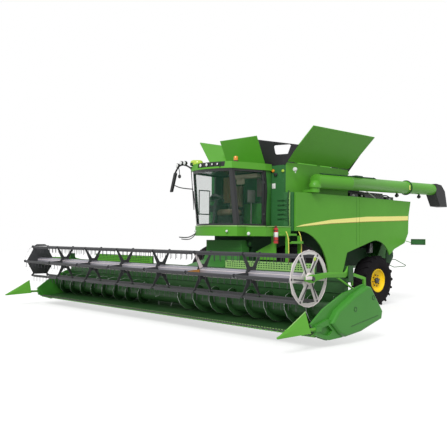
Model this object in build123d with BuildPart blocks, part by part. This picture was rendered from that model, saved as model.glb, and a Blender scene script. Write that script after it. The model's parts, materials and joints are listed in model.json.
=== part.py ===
"""Combine harvester with a rigid grain header, as separate pieces that are joined as on the machine.

Millimetres. +X is the machine's left, -Y is forward and +Z is up. Every place in this file is
measured from the point on the ground under the middle of the front axle, and each finished piece
is then moved so that the origin lies under the middle of the whole machine.
"""
from build123d import *
from math import cos, hypot, pi, radians, sin, sqrt
import os

os.makedirs("parts", exist_ok=True)

# ---------------------------------------------------------------- driving dimensions
# reach of the whole machine ahead of and behind the front axle
nose_tip_y = -4790
spout_rear_y = 7330

# wheels: radius over the lugs, width over the tyre, seat on the rim, half the track, place
front_wheel = dict(radius=930, width=700, seat=430, x=1400, y=0, lugs=20, lug_height=48)
rear_wheel = dict(radius=748, width=520, seat=350, x=1400, y=3690, lugs=18, lug_height=40)

# body
chassis_half = 740
chassis_rear_half = 620
tank_half = 1407
tank_front_y = -270
tank_rear_y = 2437
tank_floor_z = 2450
tank_top_z = 3905
tank_wall = 40
bulkhead_thickness = 60
shield_face_x = tank_half + 256
shield_thickness = 40
shield_top_z = 3195
shield_front_y = -177
shield_seam_y = 2652
shield_rear_y = 5400
shield_gap = 10
arch_radius = 1200

# tank covers, opened outwards; lengths from hinge to edge
side_cover_length = tank_half - 237
end_cover_length = 863
end_cover_half = tank_half - 700
cover_thickness = 25
side_cover_lean = 47.7
end_cover_lean = 63.9
end_hinge_z = tank_top_z + 20
side_hinge_z = tank_top_z + 90
cover_eye_radius = 9.5
cover_pin_radius = 5
cover_eye_length = 60
side_hinge_places = (0.15, 0.5, 0.85)
end_hinge_places = (-480, 480)

# cab
cab_base_z = 2040
cab_floor_z = 2300
cab_top_z = 3770
cab_half = 960
cab_rear_y = -345
door_post_y = -600
side_slope = 0.2
screen_foot_y = -1430
screen_head_y = -1600
screen_bulge = 230
cab_wall = 50
roof_thickness = 175
glass_thickness = 10

# header, carried by the feeder house
feeder_half = 690
feeder_pivot_y = -900
feeder_pivot_z = 1840
feeder_pin_radius = 45
header_half = 5150
header_wall = 60
knife_y = -3690
knife_z = 240
back_y = -2740
auger_y = -3060
auger_z = 600
auger_radius = 300
auger_tube_radius = 190
auger_stub_radius = 45
beam_z = 1180
beam_size = 130

# reel
reel_y = -3800
reel_z = 1270
reel_inset = 60
reel_radius = 480
reel_tube_radius = 95
bat_count = 6
bat_tube_radius = 20
tine_length = 170
tines_per_bay = 8
bay_count = 7
spider_thickness = 14
spider_root = 62
spider_tip = 20
reel_half = header_half - reel_inset
arm_offset = 25
arm_x = header_half + arm_offset
arm_pivot_y = -2680
arm_pivot_z = 1420

# unloading auger
unloader_x = tank_half + 293
unloader_y = 560
unloader_z = 3520
unloader_radius = 190
unloader_rise = 110
spigot_radius = 130
unloader_flange_y = 5060
unloader_rear_y = 6620

# feeder lift cylinders: (y, z) of the barrel's foot and of the rod's eye
cylinder_x = 740
barrel_foot = (-235, 850)
rod_eye = (-2275, 560)
barrel_length = 1350
lift_rod_radius = 36
lift_pin_radius = 22

# clearances
running_gap = 0.5
pin_gap = 0.3

cylinder_run = Vector(0, rod_eye[0] - barrel_foot[0], rod_eye[1] - barrel_foot[1])
cylinder_way = cylinder_run.normalized()
centre_shift = -(nose_tip_y + spout_rear_y) / 2
pieces = {}


def finish(builder, name):
    """Label a piece, move it to the machine's own frame and write it."""
    placed = builder.part.moved(Location((0, centre_shift, 0)))
    placed.label = name
    export_step(placed, f"parts/{name}.step")
    pieces[name] = placed


def across(points, half, offset=0.0):
    """A side view outline of (y, z) points, drawn out across the machine to both sides."""
    with BuildSketch(Plane.YZ.offset(offset)) as outline:
        with BuildLine():
            Polyline(*points, close=True)
        make_face()
    extrude(outline.sketch, amount=half, both=True)


def bar(start, end, width, height=None):
    """A straight bar of rectangular section between two points."""
    path = Vector(*end) - Vector(*start)
    up = Vector(0, 0, 1) if abs(path.normalized().Z) < 0.9 else Vector(0, 1, 0)
    section = Plane(origin=start, x_dir=path.cross(up), z_dir=path)
    with BuildSketch(section) as face:
        Rectangle(width, height or width)
    extrude(face.sketch, amount=path.length)


def rod(start, end, radius):
    """A round rod between two points."""
    path = Vector(*end) - Vector(*start)
    with BuildSketch(Plane(origin=start, z_dir=path)) as face:
        Circle(radius)
    extrude(face.sketch, amount=path.length)


def block(x, y, z, mode=Mode.ADD):
    """A box from its (low, high) pairs."""
    centre = ((x[0] + x[1]) / 2, (y[0] + y[1]) / 2, (z[0] + z[1]) / 2)
    with Locations(centre):
        Box(x[1] - x[0], y[1] - y[0], z[1] - z[0], mode=mode)


# ---------------------------------------------------------------- wheels
def build_tyre(size, side, name):
    """A lugged tyre: the carcass is turned about the axle and the bars stand on it in two rows."""
    radius, width, seat = size["radius"], size["width"], size["seat"]
    crown = radius - size["lug_height"]
    half = width / 2
    step = 360 / size["lugs"]
    lug_width = 0.30 * radian_length(crown, step)
    lean = 0.42 * half
    lug_top = (radius**2 - (lean + lug_width / 2) ** 2) ** 0.5
    lug_root = crown - 62
    with BuildPart() as tyre:
        with BuildSketch(Plane.XZ):
            with BuildLine():
                shoulder = Polyline((-half + 25, crown - 45), (-half * 0.55, crown), (half * 0.55, crown),
                                    (half - 25, crown - 45))
                bead = Polyline((-half + 70, seat), (half - 70, seat))
                ThreePointArc(bead @ 0, (-half, (seat + crown) / 2), shoulder @ 0)
                ThreePointArc(bead @ 1, (half, (seat + crown) / 2), shoulder @ 1)
            make_face()
        revolve(axis=Axis.X)
        for row in (1, -1):
            planes = []
            for n in range(size["lugs"]):
                turn = radians(step * (n + 0.5 * (row < 0)))
                outward = Vector(0, sin(turn), cos(turn))
                planes.append(Plane(origin=outward * lug_root, x_dir=(1, 0, 0), z_dir=outward))
            with BuildSketch(*planes):
                with BuildLine():
                    Polyline((-row * 12, lug_width / 2), (-row * 12, -lug_width / 2),
                             (row * (half - 14), lean - lug_width / 2), (row * (half - 14), lean + lug_width / 2),
                             close=True)
                make_face()
            extrude(amount=lug_top - lug_root, taper=6)
    standing = -tyre.part.bounding_box().min.Z
    tyre.part = tyre.part.moved(Location((side * size["x"], size["y"], standing)))
    finish(tyre, name)
    return standing


def radian_length(radius, angle):
    """Arc length of an angle in degrees."""
    return radians(angle) * radius


def build_rim(size, side, height, name):
    """A dished rim with a wheel disc and hub, turned about the axle."""
    seat = size["seat"] - pin_gap
    half = size["width"] / 2 - 70
    disc = 0.30 * half
    with BuildPart() as rim:
        with BuildSketch(Plane.XZ):
            with BuildLine():
                Polyline((-half, seat), (half, seat), (half + 22, seat - 2), (half + 22, seat - 26),
                         (half - 20, seat - 40), (disc + 90, seat - 70), (disc + 20, seat * 0.42),
                         (disc + 60, seat * 0.36), (disc + 60, 0), (disc, 0), (disc, seat * 0.36),
                         (disc - 8, seat * 0.42), (disc + 60, seat - 78), (disc, seat - 58), (-half, seat - 30),
                         close=True)
            make_face()
        revolve(axis=Axis.X)
        with Locations(Plane.YZ.offset(disc + 60)):
            with PolarLocations(seat * 0.24, 8):
                Cylinder(14, 20, align=(Align.CENTER, Align.CENTER, Align.MIN))
    handed = rim.part if side > 0 else rim.part.mirror(Plane.YZ)
    rim.part = handed.moved(Location((side * size["x"], size["y"], height)))
    finish(rim, name)
    return disc


for tag, side in (("left", 1), ("right", -1)):
    axle_z = build_tyre(front_wheel, side, f"tyre_front_{tag}")
    front_disc = build_rim(front_wheel, side, axle_z, f"rim_front_{tag}")
    rear_axle_z = build_tyre(rear_wheel, side, f"tyre_rear_{tag}")
    rear_disc = build_rim(rear_wheel, side, rear_axle_z, f"rim_rear_{tag}")

# ---------------------------------------------------------------- axles and knuckles
axle_half = 850
rear_y = rear_wheel["y"]
kingpin_x = 1060
kingpin_radius = 45
knuckle_half_height = 110
front_hub_x = front_wheel["x"] + front_disc
rear_hub_x = rear_wheel["x"] + rear_disc
chassis_belly_z = axle_z + 150
chassis_tail_z = 1150

with BuildPart() as front_axle:
    block((-axle_half, axle_half), (-150, 150), (axle_z - 150, axle_z + 150))
    for side in (1, -1):
        rod((side * axle_half, 0, axle_z), (side * 1180, 0, axle_z), 225)
        rod((side * 1180, 0, axle_z), (side * (front_hub_x - running_gap), 0, axle_z), 120)
        block(sorted((side * (cylinder_x - 80), side * (cylinder_x - 35 - running_gap))), (-320, -150),
              (barrel_foot[1] - 50, barrel_foot[1] + 50))
        rod((side * (cylinder_x - 40), *barrel_foot), (side * (cylinder_x + 35), *barrel_foot), lift_pin_radius)
finish(front_axle, "front_axle")

with BuildPart() as rear_axle:
    block((-kingpin_x + 150, kingpin_x - 150), (rear_y - 90, rear_y + 90), (rear_axle_z - 110, rear_axle_z + 110))
    block((-170, 170), (rear_y - 130, rear_y + 130), (rear_axle_z + 110, chassis_tail_z))
    for side in (1, -1):
        for low in (-knuckle_half_height - 45, knuckle_half_height + 5):
            height = (rear_axle_z + low, rear_axle_z + low + 40)
            block(sorted((side * (kingpin_x - 155), side * (kingpin_x + 45))), (rear_y - 55, rear_y + 55), height)
        block(sorted((side * (kingpin_x - 190), side * (kingpin_x - 75))), (rear_y - 70, rear_y + 70),
              (rear_axle_z - knuckle_half_height - 45, rear_axle_z + knuckle_half_height + 45))
        rod((side * kingpin_x, rear_y, rear_axle_z - knuckle_half_height - 45),
            (side * kingpin_x, rear_y, rear_axle_z + knuckle_half_height + 45), 30)
finish(rear_axle, "rear_axle")

for tag, side in (("left", 1), ("right", -1)):
    with BuildPart() as knuckle:
        rod((side * kingpin_x, rear_y, rear_axle_z - knuckle_half_height),
            (side * kingpin_x, rear_y, rear_axle_z + knuckle_half_height), 55)
        rod((side * (kingpin_x + 30), rear_y, rear_axle_z), (side * (rear_hub_x - running_gap), rear_y, rear_axle_z), 50)
        with Locations((side * kingpin_x, rear_y, rear_axle_z)):
            Cylinder(30 + pin_gap, 400, mode=Mode.SUBTRACT)
    finish(knuckle, f"knuckle_{tag}")

# ---------------------------------------------------------------- chassis and body
chassis_outline = [
    (tank_front_y - bulkhead_thickness, tank_floor_z), (tank_front_y - bulkhead_thickness, cab_base_z),
    (-800, cab_base_z), (-800, 1350), (-540, chassis_belly_z), (900, chassis_belly_z), (1300, 900), (2300, 900),
    (2900, chassis_tail_z), (4300, chassis_tail_z), (4650, 1450), (4900, 1850), (4900, tank_floor_z),
]
drawbar_y = 5180
drawbar_z = 640
drawbar_hole = 16
with BuildPart() as chassis:
    across(chassis_outline, chassis_half)
    for side in (1, -1):
        ear_x = side * (feeder_half + 10)
        with BuildSketch(Plane.YZ.offset(ear_x)) as ear:
            with Locations((feeder_pivot_y + 60, feeder_pivot_z)):
                Rectangle(120, 160)
            with Locations((feeder_pivot_y, feeder_pivot_z)):
                Circle(80)
                Circle(feeder_pin_radius + pin_gap, mode=Mode.SUBTRACT)
        extrude(ear.sketch, amount=side * chassis_half - ear_x)
    for side in (1, -1):
        block(sorted((side * chassis_rear_half, side * (chassis_half + 10))), (2800, 4920), (800, 1900), Mode.SUBTRACT)
    block((-60, 60), (4150, 4290), (drawbar_z - 20, chassis_tail_z))
    block((-60, 60), (4150, drawbar_y + 70), (drawbar_z - 20, drawbar_z + 20))
    with Locations((0, drawbar_y, drawbar_z)):
        Hole(drawbar_hole)
finish(chassis, "chassis")

side_curb_z = side_hinge_z - cover_thickness / 2 - 5
ear_near = cover_eye_length / 2 + running_gap
ear_far = ear_near + 25
with BuildPart() as grain_tank:
    block((-tank_half, tank_half), (tank_front_y, tank_rear_y), (tank_floor_z, tank_top_z))
    hopper_z = 3150
    with BuildSketch(Plane.XY.offset(hopper_z)):
        with Locations((0, (tank_front_y + tank_rear_y) / 2)):
            Rectangle(2 * (tank_half - tank_wall), tank_rear_y - tank_front_y - 2 * tank_wall)
    extrude(amount=tank_top_z - hopper_z, mode=Mode.SUBTRACT)
    with BuildSketch(Plane.XY.offset(hopper_z)):
        with Locations((0, (tank_front_y + tank_rear_y) / 2)):
            Rectangle(2 * (tank_half - tank_wall), tank_rear_y - tank_front_y - 2 * tank_wall)
    with BuildSketch(Plane.XY.offset(tank_floor_z + tank_wall)):
        with Locations((0, (tank_front_y + tank_rear_y) / 2)):
            Rectangle(1300, 700)
    loft(mode=Mode.SUBTRACT)
    block((-tank_half, tank_half), (tank_rear_y, tank_rear_y + 40), (tank_top_z - 60, tank_top_z))
    for side in (1, -1):
        block(sorted((side * (tank_half - tank_wall), side * tank_half)), (tank_front_y, tank_rear_y),
              (tank_top_z, side_curb_z))
        # ears and pins of the side covers
        for share in side_hinge_places:
            y = tank_front_y + share * (tank_rear_y - tank_front_y)
            for near, far in ((-ear_far, -ear_near), (ear_near, ear_far)):
                block(sorted((side * (tank_half - cover_eye_radius), side * (tank_half + cover_eye_radius))),
                      (y + near, y + far), (side_curb_z, side_hinge_z))
                rod((side * tank_half, y + near, side_hinge_z), (side * tank_half, y + far, side_hinge_z),
                    cover_eye_radius)
            rod((side * tank_half, y - ear_far, side_hinge_z), (side * tank_half, y + ear_far, side_hinge_z),
                cover_pin_radius)
    # ears and pins of the end covers
    for edge_y in (tank_front_y, tank_rear_y):
        for x in end_hinge_places:
            for near, far in ((-ear_far, -ear_near), (ear_near, ear_far)):
                block((x + near, x + far), (edge_y - cover_eye_radius, edge_y + cover_eye_radius),
                      (tank_top_z, end_hinge_z))
                rod((x + near, edge_y, end_hinge_z), (x + far, edge_y, end_hinge_z), cover_eye_radius)
            rod((x - ear_far, edge_y, end_hinge_z), (x + ear_far, edge_y, end_hinge_z), cover_pin_radius)
finish(grain_tank, "grain_tank")

post_x = shield_face_x - shield_thickness - running_gap
with BuildPart() as bulkhead:
    block((-tank_half, tank_half), (tank_front_y - bulkhead_thickness, tank_front_y), (tank_floor_z, tank_top_z))
    for side in (1, -1):
        block(sorted((side * chassis_half, side * tank_half)), (tank_front_y - bulkhead_thickness, tank_front_y),
              (cab_base_z, tank_floor_z))
        with BuildSketch(Plane.XY.offset(2180)):
            with BuildLine():
                Polyline((side * tank_half, tank_front_y - bulkhead_thickness), (side * post_x, -230),
                         (side * post_x, -130), (side * tank_half, -130), close=True)
            make_face()
        extrude(amount=shield_top_z - 5 - 2180)
finish(bulkhead, "bulkhead")

with BuildPart() as engine:
    block((-520, 520), (2950, 4250), (tank_floor_z, 3080))
finish(engine, "engine")

hood_half = post_x
hood_line = [(tank_rear_y, 3170), (5330, 3170), (5225, 2739), (5195, 2170), (5000, 1900)]
hood_inner = [(5040 - 90, 1930), (5150, 2180), (5180, 2745), (5275, 3110), (tank_rear_y, 3130)]
with BuildPart() as rear_hood:
    across(hood_line + hood_inner, hood_half)
finish(rear_hood, "rear_hood")

deck_z = 3170
with BuildPart() as engine_deck:
    rod((-700, 2750, 3380), (500, 2750, 3380), 200)
    for x in (-500, 300):
        block((x - 30, x + 30), (2630, 2870), (deck_z, 3300))
    block((-1350, -650), (3000, 4300), (deck_z, 3420))
    # left side, front to rear: filter box, louvred screen box, tool box
    block((760, 1340), (2500, 3300), (deck_z, 3400))
    block((760, 1340), (3330, 4380), (deck_z, 3350))
    for n in range(7):
        y = 3400 + 140 * n
        block((760, 1340), (y, y + 60), (3350, 3385))
    block((800, 1300), (4430, 4980), (deck_z, 3310))
    rod((620, 3050, 3450), (1180, 3050, 3450), 85)
    for x in (700, 1100):
        block((x - 25, x + 25), (3000, 3100), (3390, 3460))
    rod((250, 4500, deck_z), (250, 4500, 3560), 90)
finish(engine_deck, "engine_deck")

hoop_points = [(5200, 1340), (5700, 1320), (6350, 1115), (6300, 1085), (5650, 1070), (5200, 1185)]
with BuildPart() as chopper:
    across([(4900 + pin_gap, 1850), (4960, 1900), (5230, 1700), (5330, 1250), (5230, 1000), (4700, 1150),
            (4650 + pin_gap, 1450)], 950)
    for side in (1, -1):
        # hoop that guards the spread of straw
        for start, end in zip(hoop_points, hoop_points[1:]):
            rod((side * 920, *start), (side * 920, *end), 12)
        for y, z in hoop_points[1:-1]:
            with Locations((side * 920, y, z)):
                Sphere(12)
finish(chopper, "chopper")

# ---------------------------------------------------------------- side shields
front_shield_outline = [
    (shield_front_y, shield_top_z), (shield_seam_y - shield_gap / 2, shield_top_z),
    (shield_seam_y - shield_gap / 2, 1755), (2060, 1600), (1860, 1050), (1225, 990),
]
arch_points = [(1170, 1290), (812, 1850), (20, 2185)]
rear_shield_outline = [
    (shield_seam_y + shield_gap / 2, shield_top_z), (shield_rear_y, shield_top_z - 20), (5290, 2740), (5262, 2170),
    (5056, 1868), (4482, 1687), (4217, 1507),
]
marker_y = 5235
for tag, side in (("left", 1), ("right", -1)):
    face = Plane.YZ.offset(side * shield_face_x)
    inward = -side * shield_thickness
    with BuildPart() as shield_front:
        with BuildSketch(face):
            with BuildLine():
                edge = Polyline(*front_shield_outline)
                arch = ThreePointArc(edge @ 1, arch_points[1], arch_points[2])
                Polyline(arch @ 1, (shield_front_y, 2185), edge @ 0)
            make_face()
        extrude(amount=inward)
    finish(shield_front, f"shield_front_{tag}")
    with BuildPart() as shield_rear:
        with BuildSketch(face):
            with BuildLine():
                edge = Polyline(*rear_shield_outline)
                arch = ThreePointArc(edge @ 1, (3750, 1900), (3300, 1925))
                Polyline(arch @ 1, (shield_seam_y + shield_gap / 2, 1755), edge @ 0)
            make_face()
        extrude(amount=inward)
        rod((side * (shield_face_x - 20), 5080, 1945), (side * 1800, marker_y, 1880), 10)
        block(sorted((side * 1787, side * 2275)), (marker_y - 12, marker_y + 12), (1815, 1995))
    finish(shield_rear, f"shield_rear_{tag}")

# ---------------------------------------------------------------- tank covers
cover_mid_y = (tank_front_y + tank_rear_y) / 2
cover_shift = 165


def eye(centre, axis, way):
    """A cover's hinge eye about its pin, with the tongue that joins it to the plate."""
    along = Vector(*axis)
    start = Vector(*centre) - along * (cover_eye_length / 2)
    end = start + along * cover_eye_length
    rod(start, end, cover_eye_radius)
    section = Plane(origin=start, x_dir=way, z_dir=along)
    with BuildSketch(section) as tongue:
        with Locations((10, 0)):
            Rectangle(20, cover_eye_radius)
    extrude(tongue.sketch, amount=cover_eye_length)
    with BuildSketch(section) as bore:
        Circle(cover_pin_radius + pin_gap)
    extrude(bore.sketch, amount=cover_eye_length, mode=Mode.SUBTRACT)


for tag, side in (("left", 1), ("right", -1)):
    lean = radians(side_cover_lean)
    plate = Plane(origin=(side * tank_half, 0, side_hinge_z), x_dir=(0, 1, 0),
                  z_dir=(side * sin(lean), 0, -cos(lean)))
    rise = 1 if plate.y_dir.Z > 0 else -1
    with BuildPart() as cover:
        with BuildSketch(plate):
            with BuildLine():
                Polyline((tank_front_y, rise * 15), (tank_front_y + cover_shift, rise * side_cover_length),
                         (tank_rear_y + cover_shift, rise * side_cover_length), (tank_rear_y, rise * 15), close=True)
            make_face()
        extrude(amount=cover_thickness / 2, both=True)
        for share in side_hinge_places:
            y = tank_front_y + share * (tank_rear_y - tank_front_y)
            eye((side * tank_half, y, side_hinge_z), (0, 1, 0), plate.y_dir * rise)
    finish(cover, f"cover_{tag}")
for tag, edge_y, way in (("front", tank_front_y, -1), ("rear", tank_rear_y, 1)):
    lean = radians(end_cover_lean)
    plate = Plane(origin=(0, edge_y, end_hinge_z), x_dir=(1, 0, 0), z_dir=(0, -way * sin(lean), cos(lean)))
    rise = 1 if plate.y_dir.Z > 0 else -1
    with BuildPart() as cover:
        with BuildSketch(plate):
            with Locations((0, rise * (end_cover_length + 12) / 2)):
                Rectangle(2 * end_cover_half, end_cover_length - 12)
        extrude(amount=cover_thickness / 2, both=True)
        for x in end_hinge_places:
            eye((x, edge_y, end_hinge_z), (1, 0, 0), plate.y_dir * rise)
    finish(cover, f"cover_{tag}")

gusset_thickness = 8
gusset_side_share = 0.476
gusset_end_share = 0.87
window_inner_x = tank_half - 290
window_outer_x = tank_half + 180
window_low_z = tank_top_z + 285
window_high_z = tank_top_z + 520


def strip(start, end, facing):
    """A thin strip between two points, drawn square to the way that the sheet leaves it."""
    along = Vector(*end) - Vector(*start)
    with BuildSketch(Plane(origin=(Vector(*start) + Vector(*end)) / 2, x_dir=along, z_dir=facing)) as edge:
        Rectangle(along.length, gusset_thickness)
    return edge.sketch


with BuildPart() as tank_gussets:
    for edge_y, way in ((tank_front_y, -1), (tank_rear_y, 1)):
        side_lean = radians(side_cover_lean)
        end_lean = radians(end_cover_lean)
        for side in (1, -1):
            foot_y = edge_y + way * 15
            low_in = (side * (end_cover_half + 14), foot_y, tank_top_z + pin_gap)
            low_out = (side * (tank_half - 10), foot_y, tank_top_z + pin_gap)
            reach = gusset_side_share * side_cover_length
            top_out = (side * (tank_half + reach * cos(side_lean)), edge_y + gusset_side_share * cover_shift + way * 15,
                       side_hinge_z + reach * sin(side_lean))
            reach = gusset_end_share * end_cover_length
            top_in = (side * (end_cover_half + 14), edge_y + way * reach * cos(end_lean),
                      end_hinge_z + reach * sin(end_lean))
            rim = Vector(*top_out) - Vector(*top_in)
            rise = Vector(0, 0, 1) - rim.normalized() * rim.normalized().Z
            loft([strip(low_in, low_out, (0, 0, 1)), strip(top_in, top_out, rise)], ruled=True)
            with BuildSketch(Plane.XZ.offset(-edge_y)) as pane:
                with Locations((side * (window_inner_x + window_outer_x) / 2, (window_low_z + window_high_z) / 2)):
                    RectangleRounded(window_outer_x - window_inner_x, window_high_z - window_low_z, 50)
            extrude(pane.sketch, amount=-way * 600, mode=Mode.SUBTRACT)
finish(tank_gussets, "tank_gussets")

# ---------------------------------------------------------------- cab
def on_side(y, inset=0.0):
    """X of the cab's side face at a place along it."""
    return cab_half - inset + side_slope * min(0, y - door_post_y)


def cab_plan(z, front_y, inset=0.0, grow=0.0):
    """The cab's plan: straight sides that close in forwards and a rounded windscreen."""
    rear = cab_rear_y - inset
    near = on_side(front_y, inset) + grow
    post = on_side(door_post_y, inset) + grow
    tip = front_y - screen_bulge + inset - grow
    with BuildSketch(Plane.XY.offset(z)) as plan:
        with BuildLine():
            rim = Polyline((-near, front_y - grow), (-post, door_post_y), (-post, rear), (post, rear),
                           (post, door_post_y), (near, front_y - grow))
            ThreePointArc(rim @ 1, (0, tip), rim @ 0)
        make_face()
    return plan.sketch


glass_foot_z = cab_floor_z + 60
glass_head_z = cab_top_z - 70
door_foot_z = cab_floor_z + 12
door_head_z = cab_top_z - 12
door_front_foot_y = -1395
door_front_head_y = -1560
door_thickness = 40
door_frame_width = 45
screen_half_foot = 705
screen_half_head = 690
door_hinge_x = cab_half + 16
door_eye_radius = 11
door_pin_radius = 6
door_hinge_places = (2620, 3450)
with BuildPart() as cab_shell:
    loft([cab_plan(cab_floor_z, screen_foot_y), cab_plan(cab_top_z, screen_head_y)])
    loft([cab_plan(cab_floor_z + 30, screen_foot_y, cab_wall), cab_plan(cab_top_z - 30, screen_head_y, cab_wall)],
         mode=Mode.SUBTRACT)
    # windscreen
    with BuildSketch(Plane.XZ.offset(1300)) as screen:
        with BuildLine():
            Polyline((-screen_half_foot, glass_foot_z), (-screen_half_head, glass_head_z),
                     (screen_half_head, glass_head_z), (screen_half_foot, glass_foot_z), close=True)
        make_face()
    extrude(screen.sketch, amount=800, mode=Mode.SUBTRACT)
    # door opening on the left, window on the right
    with BuildSketch(Plane.YZ.offset(500)) as doorway:
        with BuildLine():
            Polyline((door_post_y - 5, door_foot_z - 6), (door_front_foot_y - 6, door_foot_z - 6),
                     (door_front_head_y - 6, door_head_z + 6), (door_post_y - 5, door_head_z + 6), close=True)
        make_face()
    extrude(doorway.sketch, amount=700, mode=Mode.SUBTRACT)
    with BuildSketch(Plane.YZ.offset(-500)) as window:
        with BuildLine():
            Polyline((door_post_y - 40, glass_foot_z), (door_front_foot_y + 40, glass_foot_z),
                     (door_front_head_y + 40, glass_head_z), (door_post_y - 40, glass_head_z), close=True)
        make_face()
    extrude(window.sketch, amount=-700, mode=Mode.SUBTRACT)
    block((-620, 620), (-500, -200), (2950, 3620), Mode.SUBTRACT)
    # door hinges: two leaves with a pin between them
    for z in door_hinge_places:
        for low in (z - 46, z + 30 + running_gap):
            block((cab_half, door_hinge_x + 10), (door_post_y - 8, door_post_y + 25), (low, low + 15))
        rod((door_hinge_x, door_post_y, z - 40), (door_hinge_x, door_post_y, z + 40), door_pin_radius)
finish(cab_shell, "cab_shell")

with BuildPart() as cab_glass:
    loft([cab_plan(glass_foot_z + pin_gap, screen_foot_y, cab_wall / 2),
          cab_plan(glass_head_z - pin_gap, screen_head_y, cab_wall / 2)])
    loft([cab_plan(glass_foot_z - 1, screen_foot_y, cab_wall / 2 + glass_thickness),
          cab_plan(glass_head_z + 1, screen_head_y, cab_wall / 2 + glass_thickness)], mode=Mode.SUBTRACT)
    with BuildSketch(Plane.XZ.offset(1300)) as screen:
        with BuildLine():
            Polyline((-screen_half_foot + 1, glass_foot_z - 5), (-screen_half_head + 1, glass_head_z + 5),
                     (screen_half_head - 1, glass_head_z + 5), (screen_half_foot - 1, glass_foot_z - 5), close=True)
        make_face()
    extrude(screen.sketch, amount=800, mode=Mode.INTERSECT)
    right_face = Plane(origin=(-cab_half, door_post_y, 0), x_dir=(side_slope, -1, 0), z_dir=(-1, -side_slope, 0))
    with BuildSketch(right_face.offset(-cab_wall / 2)) as pane:
        with BuildLine():
            Polyline((49.3, glass_foot_z + pin_gap), (-door_front_foot_y + door_post_y - 42, glass_foot_z + pin_gap),
                     (-door_front_head_y + door_post_y - 42, glass_head_z - pin_gap),
                     (49.3, glass_head_z - pin_gap), close=True)
        make_face()
    extrude(pane.sketch, amount=-glass_thickness)
    block((-619.5, 619.5), (cab_rear_y - 30, cab_rear_y - 20), (2950.5, 3619.5))
finish(cab_glass, "cab_glass")

door_plane = Plane(origin=(cab_half, door_post_y, 0), x_dir=(-side_slope, -1, 0), z_dir=(-1, side_slope, 0))
stretch = hypot(1, side_slope)
door_edge_gap = 19


def door_outline(inset):
    """The door seen square on: the hinge edge is upright and the front edge leans forward."""
    return [(door_edge_gap + inset, door_foot_z + inset),
            ((door_post_y - door_front_foot_y) * stretch - inset, door_foot_z + inset),
            ((door_post_y - door_front_head_y) * stretch - inset, door_head_z - inset),
            (door_edge_gap + inset, door_head_z - inset)]


with BuildPart() as cab_door:
    with BuildSketch(door_plane) as frame:
        with BuildLine():
            Polyline(*door_outline(0), close=True)
        make_face()
        with BuildLine():
            Polyline(*door_outline(door_frame_width), close=True)
        make_face(mode=Mode.SUBTRACT)
    extrude(frame.sketch, amount=door_thickness)
    for z in door_hinge_places:
        with BuildSketch(Plane.XY.offset(z - 30)) as knuckle:
            with BuildLine():
                Polyline((on_side(door_post_y - 20), door_post_y - 20), (on_side(door_post_y - 70), door_post_y - 70),
                         (on_side(door_post_y - 70) + 14, door_post_y - 70),
                         (door_hinge_x + 8, door_post_y), (door_hinge_x - 8, door_post_y), close=True)
            make_face()
            with Locations((door_hinge_x, door_post_y)):
                Circle(door_eye_radius)
                Circle(door_pin_radius + pin_gap, mode=Mode.SUBTRACT)
        extrude(knuckle.sketch, amount=60)
finish(cab_door, "cab_door")
with BuildPart() as door_glass:
    with BuildSketch(door_plane.offset(15)) as frame:
        with BuildLine():
            Polyline(*door_outline(door_frame_width + pin_gap), close=True)
        make_face()
    extrude(frame.sketch, amount=glass_thickness)
finish(door_glass, "door_glass")

mirror_seat_x = 840
lamp_slot_x = (-300, 620)
lamp_slot_depth = 40
lamp_height = cab_top_z + 110
roof_lamps = [(-180, 52), (70, 52), (260, 38), (420, 38)]


def roof_front(x, depth):
    """Y of the roof's curved front at a place across it, drawn in by a depth."""
    near = on_side(screen_head_y) + 28
    bulge = screen_bulge
    radius = (near**2 + bulge**2) / (2 * bulge)
    return screen_head_y - 28 - bulge + depth + radius - sqrt(radius**2 - x**2)


with BuildPart() as cab_roof:
    loft([cab_plan(cab_top_z, screen_head_y, grow=40), cab_plan(cab_top_z + roof_thickness, screen_head_y, grow=15)])
    with BuildSketch(Plane.XY.offset(lamp_height - 65)) as slot:
        low, high = lamp_slot_x
        middle = (low + high) / 2
        with BuildLine():
            back = ThreePointArc((low, roof_front(low, lamp_slot_depth)), (middle, roof_front(middle, lamp_slot_depth)),
                                 (high, roof_front(high, lamp_slot_depth)))
            Polyline(back @ 1, (high, -2200), (low, -2200), back @ 0)
        make_face()
    extrude(slot.sketch, amount=130, mode=Mode.SUBTRACT)
    block((-mirror_seat_x, -700), (-1620, -1540), (cab_top_z + 60, cab_top_z + 140))
finish(cab_roof, "cab_roof")

with BuildPart() as cab_seat:
    block((-250, 250), (-1150, -700), (cab_floor_z + 330, cab_floor_z + 470))
    block((-240, 240), (-720, -600), (cab_floor_z + 470, cab_floor_z + 1150))
    block((-130, 130), (-1000, -760), (cab_floor_z + 30, cab_floor_z + 330))
finish(cab_seat, "cab_seat")

with BuildPart() as cab_console:
    block((-480, -300), (-1250, -700), (cab_floor_z + 380, cab_floor_z + 560))
    block((-470, -310), (-950, -800), (cab_floor_z + 30, cab_floor_z + 380))
    rod((0, -1520, cab_floor_z + 60), (0, -1400, cab_floor_z + 700), 45)
    block((-90, 90), (-1590, -1450), (cab_floor_z + 30, cab_floor_z + 75))
    rod((0, -1405, cab_floor_z + 690), (0, -1370, cab_floor_z + 740), 190)
finish(cab_console, "cab_console")

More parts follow.
